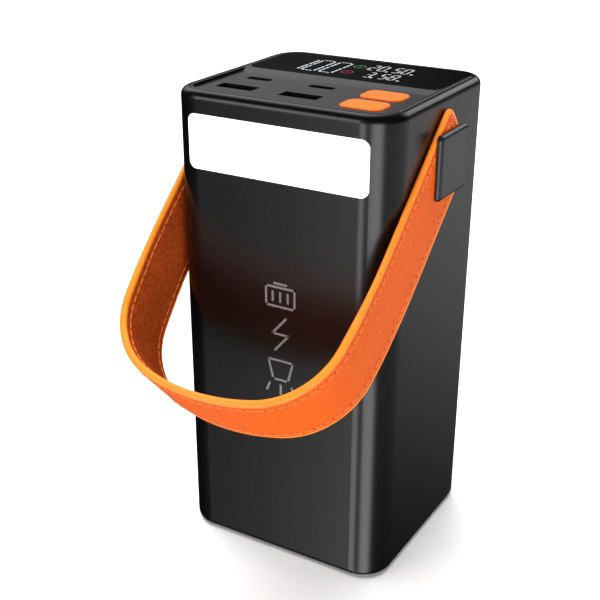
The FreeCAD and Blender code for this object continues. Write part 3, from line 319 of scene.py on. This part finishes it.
cover = moulded("cover_plastic", COVER_DARK, COVER_LIGHT, 0.31, 0.0003, 0.0000004)
dress(cover, "top_cover")


# Underside and fixings. A moulded rubber pad sits in the base cover. All the screws are
# zinc-plated steel, and so are the washers, the spacers and the strap's eyelets.
def metal(name, dark, light, roughness):
    """Bare metal with clouded brightness and fine handling marks."""
    finish = moulded(name, dark, light, roughness, 0.0004, 0.000006)
    return finish.coat({"Metallic": 1.0})


rubber = moulded("pad_rubber", paint(22, 22, 23), paint(32, 32, 33), 0.8, 0.0006, 0.00003)
dress(rubber, "base_pad")
steel = metal("screw_steel", (0.36, 0.36, 0.37, 1), (0.52, 0.52, 0.53, 1), 0.34)
dress(
    steel, "base_screws", "cover_screws", "board_screws", "switch_screws", "light_screws",
    "anchor_screws", "anchor_washers", "switch_spacers", "eyelet_left", "eyelet_right",
)


# Lamp bar. A milky lens that glows, let into the shell's front over a white reflector and
# a white board, which carries two rows of yellow emitters.
LAMP_GLOW = 1.5

lens = Finish("lamp_diffuser")
lens_clouds = lens.noise(0.006, detail=2)
lens.coat(
    {
        "Base Color": lens.mix(lens_clouds, paint(246, 248, 252), paint(252, 252, 252)),
        "Emission Color": lens.mix(lens_clouds, (0.97, 0.98, 1.0, 1), (1.0, 1.0, 1.0, 1)),
        "Emission Strength": LAMP_GLOW,
        "Roughness": 0.3 + lens_clouds * 0.1,
    }
)
dress(lens, "light_lens")
white = moulded("white_plastic", paint(228, 228, 224), paint(240, 240, 238), 0.4, 0.0005, 0.00001)
dress(white, "light_reflector")
board_white = moulded(
    "lamp_board", paint(222, 222, 216), paint(234, 234, 228), 0.35, 0.0008, 0.00001
)
dress(board_white, "light_board")
emitter = moulded(
    "emitter_yellow", paint(232, 190, 40), paint(244, 208, 70), 0.45, 0.0005, 0.00001
)
dress(emitter, "light_emitters")


# Boards and what they carry. Green boards hang on posts under the top cover, with black
# chips, a ferrite coil, two capacitors, the switches and the block that lights the figures.
board = moulded("circuit_board", paint(14, 62, 38), paint(22, 84, 50), 0.38, 0.0012, 0.00002)
dress(board, "main_board", "switch_board", "display_board", "cell_board")
chip = moulded("chip_black", paint(20, 20, 21), paint(30, 30, 32), 0.5, 0.0003, 0.00001)
dress(chip, "power_chips", "switch_body_rear", "switch_body_front")
ferrite = moulded("coil_ferrite", paint(52, 52, 55), paint(70, 70, 73), 0.65, 0.0005, 0.00003)
dress(ferrite, "power_coil")
can = metal("can_aluminium", (0.55, 0.56, 0.58, 1), (0.66, 0.67, 0.69, 1), 0.28)
dress(can, "capacitors")
pin = metal("pin_metal", (0.62, 0.5, 0.24, 1), (0.72, 0.6, 0.32, 1), 0.3)
dress(pin, "display_pins")
block = moulded("digit_block", paint(12, 12, 13), paint(20, 20, 21), 0.5, 0.0005, 0.00001)
dress(block, "display_module")


# Cell pack. Five silver pouches with grey foam between them stand in a black cradle under
# a clamp. Nickel bars join their tabs, and a red and a black lead go up to the main board.
foil = metal("cell_foil", (0.42, 0.43, 0.45, 1), (0.56, 0.57, 0.59, 1), 0.42)
dress(foil, "cell_1", "cell_2", "cell_3", "cell_4", "cell_5")
foam = moulded("foam_grey", paint(84, 84, 86), paint(104, 104, 106), 0.95, 0.0007, 0.0001)
dress(foam, "foam_pads")
inner = moulded("inner_plastic", paint(34, 35, 38), paint(46, 47, 50), 0.55, 0.0005, 0.00002)
dress(inner, "cell_cradle", "cell_clamp")
nickel = metal("bar_nickel", (0.5, 0.48, 0.44, 1), (0.62, 0.6, 0.56, 1), 0.3)
dress(nickel, "busbar_positive", "busbar_negative")
red_lead = moulded("lead_red", paint(168, 22, 18), paint(190, 34, 28), 0.45, 0.0005, 0.00001)
dress(red_lead, "positive_lead")
black_lead = moulded("lead_black", paint(18, 18, 19), paint(28, 28, 30), 0.45, 0.0005, 0.00001)
dress(black_lead, "negative_lead")


# Ports. Folded shells of dark steel round black moulded tongues, soldered to the main
# board and seen through the openings of the tray.
port_steel = metal("port_steel", (0.10, 0.10, 0.11, 1), (0.17, 0.17, 0.18, 1), 0.36)
tongue = moulded("port_plastic", paint(14, 14, 15), paint(24, 24, 25), 0.5, 0.0004, 0.00001)
for end in ("left", "right"):
    dress(port_steel, f"usb_a_shell_{end}", f"usb_c_shell_{end}")
    dress(tongue, f"usb_a_tongue_{end}", f"usb_c_tongue_{end}")


# Buttons. Orange moulded caps with a fine spark texture hang behind the top cover by a
# flange, each over the white plunger of its switch.
orange = moulded("button_orange", paint(222, 92, 20), paint(230, 102, 28), 0.5, 0.0003, 0.00001)
orange.coat({"Specular IOR Level": 0.25})
dress(orange, "button_cap_rear", "button_cap_front")
dress(white, "switch_plunger_rear", "switch_plunger_front")


# Strap caps. Square moulded caps, held by a screw from inside. They are a lighter black
# than the shell, and their rounded edges catch the light.
CAP_DARK = (0.009, 0.009, 0.010, 1)
CAP_LIGHT = (0.013, 0.013, 0.014, 1)

cap = moulded("cap_gloss", CAP_DARK, CAP_LIGHT, 0.3, 0.0003, 0.000001)
dress(cap, "anchor_plate_left", "anchor_plate_right")


# Display window. Dark glass glued into the top cover. The figures that shine through it
# are laid as thin glowing bars just above its face: the charge, then volts and amperes.
glass = Finish("window_glass")
haze = glass.noise(0.015, detail=4)
glass.coat(
    {
        "Base Color": glass.mix(haze, (0.0008, 0.0008, 0.0009, 1), (0.0014, 0.0014, 0.0015, 1)),
        "Roughness": 0.04 + haze * 0.03,
        "IOR": 1.1,
        "Specular IOR Level": 0.1,
    }
)
dress(glass, "display_glass")

GLASS_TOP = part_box("display_glass")[1].z
FIGURE_LIFT = 0.00003
FIGURE_SEGMENTS = {
    "0": "abcdef", "1": "bc", "2": "abged", "3": "abgcd", "5": "afgcd", "8": "abcdefg",
}
# the figures' places and sizes on the glass, in millimetres
BIG_FIGURES = (("1", -18.5, 1.0), ("0", -14.2, 4.6), ("0", -7.8, 4.6))
BIG_ROW, BIG_TALL, BIG_STROKE, BIG_DASHES = 15.9, 15.6, 0.55, 3
SMALL_FIGURES = (
    ("2", 3.1, 21.6), ("0", 6.5, 21.6), ("5", 11.6, 21.6), ("0", 14.8, 21.6),
    ("3", 6.5, 11.7), ("5", 11.6, 11.7), ("8", 14.8, 11.7),
)
SMALL_WIDE, SMALL_TALL, SMALL_STROKE = 2.1, 6.8, 0.4
UNIT_BARS = ((9.0, 18.2), (17.7, 18.2), (8.5, 8.3), (17.7, 8.3))
UNIT_WIDE, UNIT_TALL = 1.0, 0.8
DASH_GAP = 0.35
CORNER_GAP = 0.62
RING_COLUMN, RING_RADIUS, RING_STROKE = -1.7, 1.95, 0.3
RING_BAR = 0.9
RING_STEPS = 32
RING_OVERLAP = 0.08
WHITE, GREEN, RED = range(3)


def lay_bar(form, start, end, thick, shade):
    """A flat bar on the glass between two points given in millimetres."""
    start, end = Vector(start) / 1000, Vector(end) / 1000
    side = (end - start).orthogonal().normalized() * thick / 2000
    corners = (start + side, start - side, end - side, end + side)
    face = form.faces.new([form.verts.new((x, y, GLASS_TOP + FIGURE_LIFT)) for x, y in corners])
    face.material_index = shade


def lay_figure(form, figure, middle, wide, tall, thick, dashes):
    """One seven-segment figure; each of its segments is a row of dashes."""
    x, y = middle
    left, right, low, high = x - wide / 2, x + wide / 2, y - tall / 2, y + tall / 2
    ends = {
        "a": ((left, high), (right, high)), "b": ((right, y), (right, high)),
        "c": ((right, low), (right, y)), "d": ((left, low), (right, low)),
        "e": ((left, low), (left, y)), "f": ((left, y), (left, high)),
        "g": ((left, y), (right, y)),
    }
    dash_gap = DASH_GAP if dashes > 1 else 0
    for segment in FIGURE_SEGMENTS[figure]:
        start, end = (Vector(point) for point in ends[segment])
        along = (end - start).normalized()
        start, end = start + along * thick * CORNER_GAP, end - along * thick * CORNER_GAP
        pitch = (end - start).length / dashes
        for i in range(dashes):
            first = start + along * pitch * i
            lay_bar(form, first, first + along * (pitch - dash_gap), thick, WHITE)


def lay_ring(form, middle, radius, thick, shade):
    """A ring made of short bars that overlap a little."""
    for i in range(RING_STEPS):
        turns = [math.radians(360 * part / RING_STEPS) for part in (i, i + 1 + RING_OVERLAP)]
        points = [
            (middle[0] + radius * math.cos(turn), middle[1] + radius * math.sin(turn))
            for turn in turns
        ]
        lay_bar(form, *points, thick, shade)


form = bmesh.new()
for figure, x, wide in BIG_FIGURES:
    lay_figure(form, figure, (x, BIG_ROW), wide, BIG_TALL, BIG_STROKE, BIG_DASHES)
for figure, x, y in SMALL_FIGURES:
    lay_figure(form, figure, (x, y), SMALL_WIDE, SMALL_TALL, SMALL_STROKE, 1)
for x, y in UNIT_BARS:
    lay_bar(form, (x - UNIT_WIDE / 2, y), (x + UNIT_WIDE / 2, y), UNIT_TALL, WHITE)
for y, shade in ((20.8, GREEN), (11.9, RED)):
    lay_ring(form, (RING_COLUMN, y), RING_RADIUS, RING_STROKE, shade)
    lay_bar(form, (RING_COLUMN, y - RING_BAR), (RING_COLUMN, y + RING_BAR), RING_STROKE, shade)
figures_mesh = bpy.data.meshes.new("display_figures")
form.to_mesh(figures_mesh)
form.free()
for name, tint in (
    ("figure_white", (0.92, 0.96, 1.0, 1)),
    ("figure_green", (0.02, 0.30, 0.05, 1)),
    ("figure_red", (0.45, 0.01, 0.02, 1)),
):
    light = Finish(name)
    flicker = light.noise(0.003, detail=1)
    light.coat(
        {
            "Base Color": (0, 0, 0, 1),
            "Emission Color": light.mix(flicker * 0.06, tint, (1, 1, 1, 1)),
            "Emission Strength": 1.0,
        }
    )
    figures_mesh.materials.append(light.material)
figures = bpy.data.objects.new("display_figures", figures_mesh)
bpy.context.collection.objects.link(figures)
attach(figures, "power_station")


# Front marks. A battery, a bolt and a lamp, printed one above another in thin grey lines
# on the shell's front. The lines' points are given in millimetres.
FRONT_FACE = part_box("housing")[0].y
PRINT_LIFT = 0.00002
PRINT_WIDE = 0.75
PRINT_LINES = (
    ((-3.4, 98.4), (6.8, 98.4), (6.8, 92.0), (-3.4, 92.0), (-3.4, 98.4)),
    ((-0.4, 99.6), (3.8, 99.6)),
    ((-1.0, 96.6), (-1.0, 93.8)),
    ((1.7, 96.6), (1.7, 93.8)),
    ((4.4, 96.6), (4.4, 93.8)),
    ((3.6, 88.2), (-1.2, 82.6), (4.6, 82.6), (-0.2, 77.0)),
    ((-2.8, 73.4), (6.2, 73.4), (4.4, 66.6), (-1.0, 66.6), (-2.8, 73.4)),
    ((1.7, 64.6), (1.7, 61.6)),
    ((-2.4, 64.6), (-3.4, 62.2)),
    ((5.8, 64.6), (6.8, 62.2)),
)

form = bmesh.new()
for line in PRINT_LINES:
    for start, end in zip(line, line[1:]):
        start, end = Vector(start) / 1000, Vector(end) / 1000
        along = (end - start).normalized() * PRINT_WIDE / 2000
        side = Vector((-along.y, along.x))
        corners = (
            start - along + side, start - along - side, end + along - side, end + along + side,
        )
        spots = [form.verts.new((x, FRONT_FACE - PRINT_LIFT, z)) for x, z in corners]
        form.faces.new(spots)
bmesh.ops.recalc_face_normals(form, faces=form.faces)
marks_mesh = bpy.data.meshes.new("front_marks")
form.to_mesh(marks_mesh)
form.free()
ink = moulded("mark_ink", paint(112, 112, 112), paint(128, 128, 128), 0.5, 0.0004, 0.000002)
marks_mesh.materials.append(ink.material)
marks = bpy.data.objects.new("front_marks", marks_mesh)
bpy.context.collection.objects.link(marks)
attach(marks, "power_station")


# Carry strap. Two plies of leather, the lining inside, are glued back to back, stitched
# along both edges, and their raw edges sealed with thick paint. It hangs forward from a
# pivot at each side, and is laid out flat here before it is bent to its curve.
STRAP_WIDTH = 0.0255
STRAP_PIVOT = Vector((0, 0, 0.135))
STRAP_DIP = math.radians(42)
STRAP_REACH = 0.0943
STRAP_BENDS = ((0.0693, 14.9), (0.0261, 68.18), (0.258, 6.92))
STRAP_TAIL = 0.0116
STRAP_ARM = 0.0388
UPPER_CORNER = 0.0034
LOWER_CORNER = 0.0121
ARM_THICKNESS = 0.0018
FRONT_THICKNESS = 0.0023
SKIVED_FROM, SKIVED_TO = 0.078, 0.062
STITCH_INSET = 0.0032
STITCH_PITCH = 0.0031

bend_length = sum(radius * math.radians(turn) for radius, turn in STRAP_BENDS)
HALF_STRAP = bend_length + STRAP_ARM + STRAP_TAIL


def leather_line(run):
    """The strap's middle line: the place x, the reach from the pivot, and its turn."""
    left = abs(run)
    x, reach, turn = 0.0, STRAP_REACH, 0.0
    for radius, degrees in STRAP_BENDS:
        length = min(left, radius * math.radians(degrees))
        after = turn + length / radius
        x += radius * (math.sin(after) - math.sin(turn))
        reach += radius * (math.cos(after) - math.cos(turn))
        turn = after
        left -= length
    x += left * math.cos(turn)
    reach -= left * math.sin(turn)
    return math.copysign(x, run), reach, math.copysign(turn, run)


def bend_leather(run, across, proud):
    """Takes a point of the flat strap, proud of its middle, to its place on the bent strap."""
    x, reach, turn = leather_line(run)
    x += proud * math.sin(turn)
    reach += proud * math.cos(turn)
    return STRAP_PIVOT + Vector(
        (
            x,
            -reach * math.cos(STRAP_DIP) - across * math.sin(STRAP_DIP),
            -reach * math.sin(STRAP_DIP) + across * math.cos(STRAP_DIP),
        )
    )


def ease(value, start, end):
    """0 before start, 1 after end, and smooth between."""
    part = min(1.0, max(0.0, (value - start) / (end - start)))
    return part * part * (3 - 2 * part)


def half_thickness(run):
    """The leather is skived thinner where it passes between the shell and the caps."""
    arms = ease(abs(run), HALF_STRAP - SKIVED_FROM, HALF_STRAP - SKIVED_TO)
    return (FRONT_THICKNESS + (ARM_THICKNESS - FRONT_THICKNESS) * arms) / 2


CORNER_STEPS = 8
STATIONS_PER_STITCH = 4
EDGE_STATIONS = int(2 * (HALF_STRAP - LOWER_CORNER) / (STITCH_PITCH / STATIONS_PER_STITCH))
SMALLEST_CORNER = 0.0002


def corner_points(centre, radius, start):
    """A quarter turn of the outline, clockwise from the start angle."""
    turns = [math.radians(start - 90 * i / CORNER_STEPS) for i in range(CORNER_STEPS + 1)]
    return [
        (centre[0] + radius * math.cos(turn), centre[1] + radius * math.sin(turn))
        for turn in turns
    ]


def strap_outline(inset):
    """The flat strap's outline, set in from its edge: a closed ring of (run, across)."""
    half, wide = HALF_STRAP - inset, STRAP_WIDTH / 2 - inset
    upper = max(UPPER_CORNER - inset, SMALLEST_CORNER)
    lower = LOWER_CORNER - inset
    span = HALF_STRAP - LOWER_CORNER
    stations = [span * (2 * i / EDGE_STATIONS - 1) for i in range(EDGE_STATIONS + 1)]
    shoulder = [
        span + (half - upper - span) * i / CORNER_STEPS for i in range(1, CORNER_STEPS)
    ]
    ring = [(run, wide) for run in stations + shoulder]
    ring += corner_points((half - upper, wide - upper), upper, 90)
    ring += corner_points((half - lower, lower - wide), lower, 0)
    ring += [(run, -wide) for run in reversed(stations[1:-1])]
    ring += corner_points((lower - half, lower - wide), lower, 270)
    ring += corner_points((upper - half, wide - upper), upper, 180)
    ring += [(-run, wide) for run in reversed(shoulder)]
    return ring


ring_points = [Vector(point) for point in strap_outline(STITCH_INSET)]
ring_lengths = [
    (after - before).length
    for before, after in zip(ring_points, ring_points[1:] + ring_points[:1])
]
STITCH_COUNT = round(sum(ring_lengths) / STITCH_PITCH)


def along_stitches(distance):
    """The point of the flat strap at a distance along its row of stitches."""
    distance %= sum(ring_lengths)
    for start, length, end in zip(ring_points, ring_lengths, ring_points[1:] + ring_points[:1]):
        if distance <= length:
            return start.lerp(end, distance / length)
        distance -= length
    return ring_points[0]


stitch_step = sum(ring_lengths) / STITCH_COUNT
hole_places = [along_stitches(i * stitch_step) for i in range(STITCH_COUNT)]

# Insets from the edge and rises of the face there: the bead of paint, a crease inside it,
# the dip that the stitches pull, and the slightly padded middle.
EDGE_BEAD = 0.0008
BEAD_STEPS = 5
SURFACE_ROWS = (
    (0.00125, -0.00008),
    (0.00150, -0.00013),
    (0.00180, -0.00008),
    (0.00220, -0.00001),
    (0.00275, -0.00002),
    (STITCH_INSET, -0.00006),
    (0.00365, -0.00002),
    (0.00450, 0.00004),
    (0.00600, 0.00007),
)
MIDDLE_RISE = 0.00010
OUTER_FACE, EDGE, LINING_FACE = range(3)


def strap_rows():
    """Insets and heights of the rings from the edge's middle inwards over one face."""
    bead = [
        (EDGE_BEAD * (1 - math.cos(turn)), math.sin(turn), 0.0)
        for turn in (math.radians(90 * i / BEAD_STEPS) for i in range(BEAD_STEPS + 1))
    ]
    return bead + [(inset, 1.0, rise) for inset, rise in SURFACE_ROWS]


def cover_gap(form, corners, side, skin):
    """One smooth face of the strap, wound the way that its side needs."""
    face = form.faces.new(corners if side < 0 else corners[::-1])
    face.material_index = skin
    face.smooth = True


# the ring's numbers where its lower edge starts, after the upper edge and one end's corners
low_start = EDGE_STATIONS + 1 + (CORNER_STEPS - 1) + 2 * (CORNER_STEPS + 1) - 1
top_part = slice(0, EDGE_STATIONS + 1)
low_part = slice(low_start, low_start + EDGE_STATIONS + 1)
inmost = strap_outline(SURFACE_ROWS[-1][0])

form = bmesh.new()
edge_ring = None
for side, skin in ((1, OUTER_FACE), (-1, LINING_FACE)):
    rings = []
    for number, (inset, share, rise) in enumerate(strap_rows()):
        if number == 0 and edge_ring:
            rings.append(edge_ring)
            continue
        ring = [
            form.verts.new(bend_leather(run, across, side * (share * half_thickness(run) + rise)))
            for run, across in strap_outline(inset)
        ]
        rings.append(ring)
    edge_ring = rings[0]
    for number, (outer, inner) in enumerate(zip(rings, rings[1:])):
        for i in range(len(outer)):
            j = (i + 1) % len(outer)
            corners = [outer[i], outer[j], inner[j], inner[i]]
            cover_gap(form, corners, side, EDGE if number <= BEAD_STEPS else skin)
    last = rings[-1]
    columns = [last[top_part]]
    for part in (0.25, 0.5, 0.75):
        column = []
        for high, low in zip(inmost[top_part], inmost[low_part][::-1]):
            across = high[1] + (low[1] - high[1]) * part
            proud = half_thickness(high[0]) + MIDDLE_RISE
            column.append(form.verts.new(bend_leather(high[0], across, side * proud)))
        columns.append(column)
    columns.append(last[low_part][::-1])
    for upper_row, lower_row in zip(columns, columns[1:]):
        for i in range(EDGE_STATIONS):
            corners = [upper_row[i], upper_row[i + 1], lower_row[i + 1], lower_row[i]]
            cover_gap(form, corners, side, skin)
    right = last[EDGE_STATIONS : low_start + 1] + [c[-1] for c in reversed(columns[1:-1])]
    left = last[low_start + EDGE_STATIONS :] + [last[0]] + [c[0] for c in columns[1:-1]]
    for end in (right, left):
        cover_gap(form, end, side, skin)
bmesh.ops.recalc_face_normals(form, faces=form.faces)
strap_mesh = bpy.data.meshes.new("strap_leather")
form.to_mesh(strap_mesh)
form.free()
strap = bpy.data.objects.new("strap_leather", strap_mesh)
bpy.context.collection.objects.link(strap)
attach(strap, "strap")
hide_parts("strap_outer", "strap_lining")


PEBBLE_SIZE = 0.0011
PEBBLE_SMOOTHNESS = 0.4
WANDER_SIZE = 0.003
WANDER_SHARE = 0.0006
CLOUD_SIZE = 0.012
PORE_SIZE = 0.0004


def leather(name, face, crease, grain_depth):
    """Pebbled leather: rounded grains whose creases are painted darker as shade, over slow clouds
    of colour.
    """
    finish = Finish(name)
    wander = finish.add(
        "TexNoise", {}, {"Vector": finish.place, "Scale": 1 / WANDER_SIZE, "Detail": 2.0}, output=1
    )
    bent = finish.add(
        "Mix", {"data_type": "VECTOR"}, {0: WANDER_SHARE, 4: finish.place, 5: wander}, output=1
    )
    pebbles = finish.add(
        "TexVoronoi",
        {"feature": "SMOOTH_F1"},
        {"Vector": bent, "Scale": 1 / PEBBLE_SIZE, "Smoothness": PEBBLE_SMOOTHNESS},
    )
    grain = finish.step(pebbles, 0.30, 0.75)
    clouds = finish.noise(CLOUD_SIZE, detail=4)
    pores = finish.noise(PORE_SIZE, detail=2)
    tint = finish.mix(finish.step(clouds, 0.35, 0.65) * 0.35, face, crease)
    finish.coat(
        {
            # the creases between the pebbles are painted darker: painted shade
            "Base Color": finish.mix(grain * 0.5, tint, crease),
            "Roughness": 0.46 + grain * 0.16,
            "Specular IOR Level": 0.15,
            "Normal": finish.bump(1 - grain + pores * 0.25, grain_depth, 0.7),
        }
    )
    return finish


# each second colour is the darker tone of the clouds and the painted shade in the creases
outer_leather = leather("orange_leather", paint(206, 86, 12), paint(192, 74, 8), 0.00004)
lining_leather = leather("lining_leather", paint(172, 74, 24), paint(120, 42, 10), 0.00010)
edge_paint = Finish("edge_paint")
runs = edge_paint.noise(0.004, detail=3)
edge_paint.coat(
    {
        "Base Color": edge_paint.mix(runs, paint(236, 118, 26), paint(244, 134, 38)),
        "Roughness": 0.34 + runs * 0.12,
        "Normal": edge_paint.bump(runs, 0.00008, 0.5),
    }
)
for finish in (outer_leather, edge_paint, lining_leather):
    strap_mesh.materials.append(finish.material)


# Stitches. Waxed thread runs along both edges and round both ends, on both faces. Each
# stitch dips at its ends into a needle hole that it shares with its neighbour. Each hole is
# a flat dark disc laid on the leather: painted shade for the hole's shaded inside.
THREAD_RADIUS = 0.00018
THREAD_STEPS = 8
THREAD_SIDES = 8
THREAD_START, THREAD_SPAN = 0.05, 0.90
THREAD_SUNK, THREAD_RISE = 0.00016, 0.00022
SWELL_START, SWELL_SPAN = 0.12, 0.76
NARROW_SHARE = 0.55
HOLE_RADIUS = 0.00040
HOLE_SIDES = 12
HOLE_LIFT = 0.00001


def stitch_section(form, hole, along, part, swell, side):
    """One ring of points round the thread, at a part of the way to the next hole."""
    sideways = Vector((-along.y, along.x)).normalized()
    middle = hole + along * part
    radius = THREAD_RADIUS * (NARROW_SHARE + (1 - NARROW_SHARE) * swell)
    ring = []
    for i in range(THREAD_SIDES):
        angle = 2 * math.pi * i / THREAD_SIDES
        spot = middle + sideways * radius * math.cos(angle)
        lift = THREAD_RISE * swell - THREAD_SUNK + radius * math.sin(angle)
        proud = half_thickness(middle.x) + lift
        ring.append(form.verts.new(bend_leather(spot.x, spot.y, side * proud)))
    return ring


form = bmesh.new()
for side in (1, -1):
    for hole, after in zip(hole_places, hole_places[1:] + hole_places[:1]):
        proud = side * (half_thickness(hole.x) + HOLE_LIFT)
        rim = []
        for i in range(HOLE_SIDES):
            angle = 2 * math.pi * i / HOLE_SIDES
            spot = hole + HOLE_RADIUS * Vector((math.cos(angle), math.sin(angle)))
            rim.append(form.verts.new(bend_leather(spot.x, spot.y, proud)))
        # the flat dark disc at the hole: painted shade standing in for the hole
        form.faces.new(rim).material_index = 1
        rings = []
        for step in range(THREAD_STEPS + 1):
            part = step / THREAD_STEPS
            swell = math.sqrt(math.sin(math.pi * (SWELL_START + SWELL_SPAN * part)))
            place = THREAD_START + THREAD_SPAN * part
            rings.append(stitch_section(form, hole, after - hole, place, swell, side))
        for before, later in zip(rings, rings[1:]):
            for i in range(THREAD_SIDES):
                j = (i + 1) % THREAD_SIDES
                form.faces.new((before[i], before[j], later[j], later[i])).smooth = True
        form.faces.new(rings[0])
        form.faces.new(rings[-1])
bmesh.ops.recalc_face_normals(form, faces=form.faces)
stitch_mesh = bpy.data.meshes.new("strap_stitches")
form.to_mesh(stitch_mesh)
form.free()
thread = moulded("waxed_thread", paint(228, 112, 48), paint(238, 130, 66), 0.55, 0.0002, 0.00002)
# the dark brown of the hole discs is painted shade
needle_hole_shade = moulded("needle_hole_shade", paint(70, 20, 10), paint(92, 30, 14), 0.8, 0.0002, 0.00001)
for finish in (thread, needle_hole_shade):
    stitch_mesh.materials.append(finish.material)
stitches = bpy.data.objects.new("strap_stitches", stitch_mesh)
bpy.context.collection.objects.link(stitches)
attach(stitches, "strap")
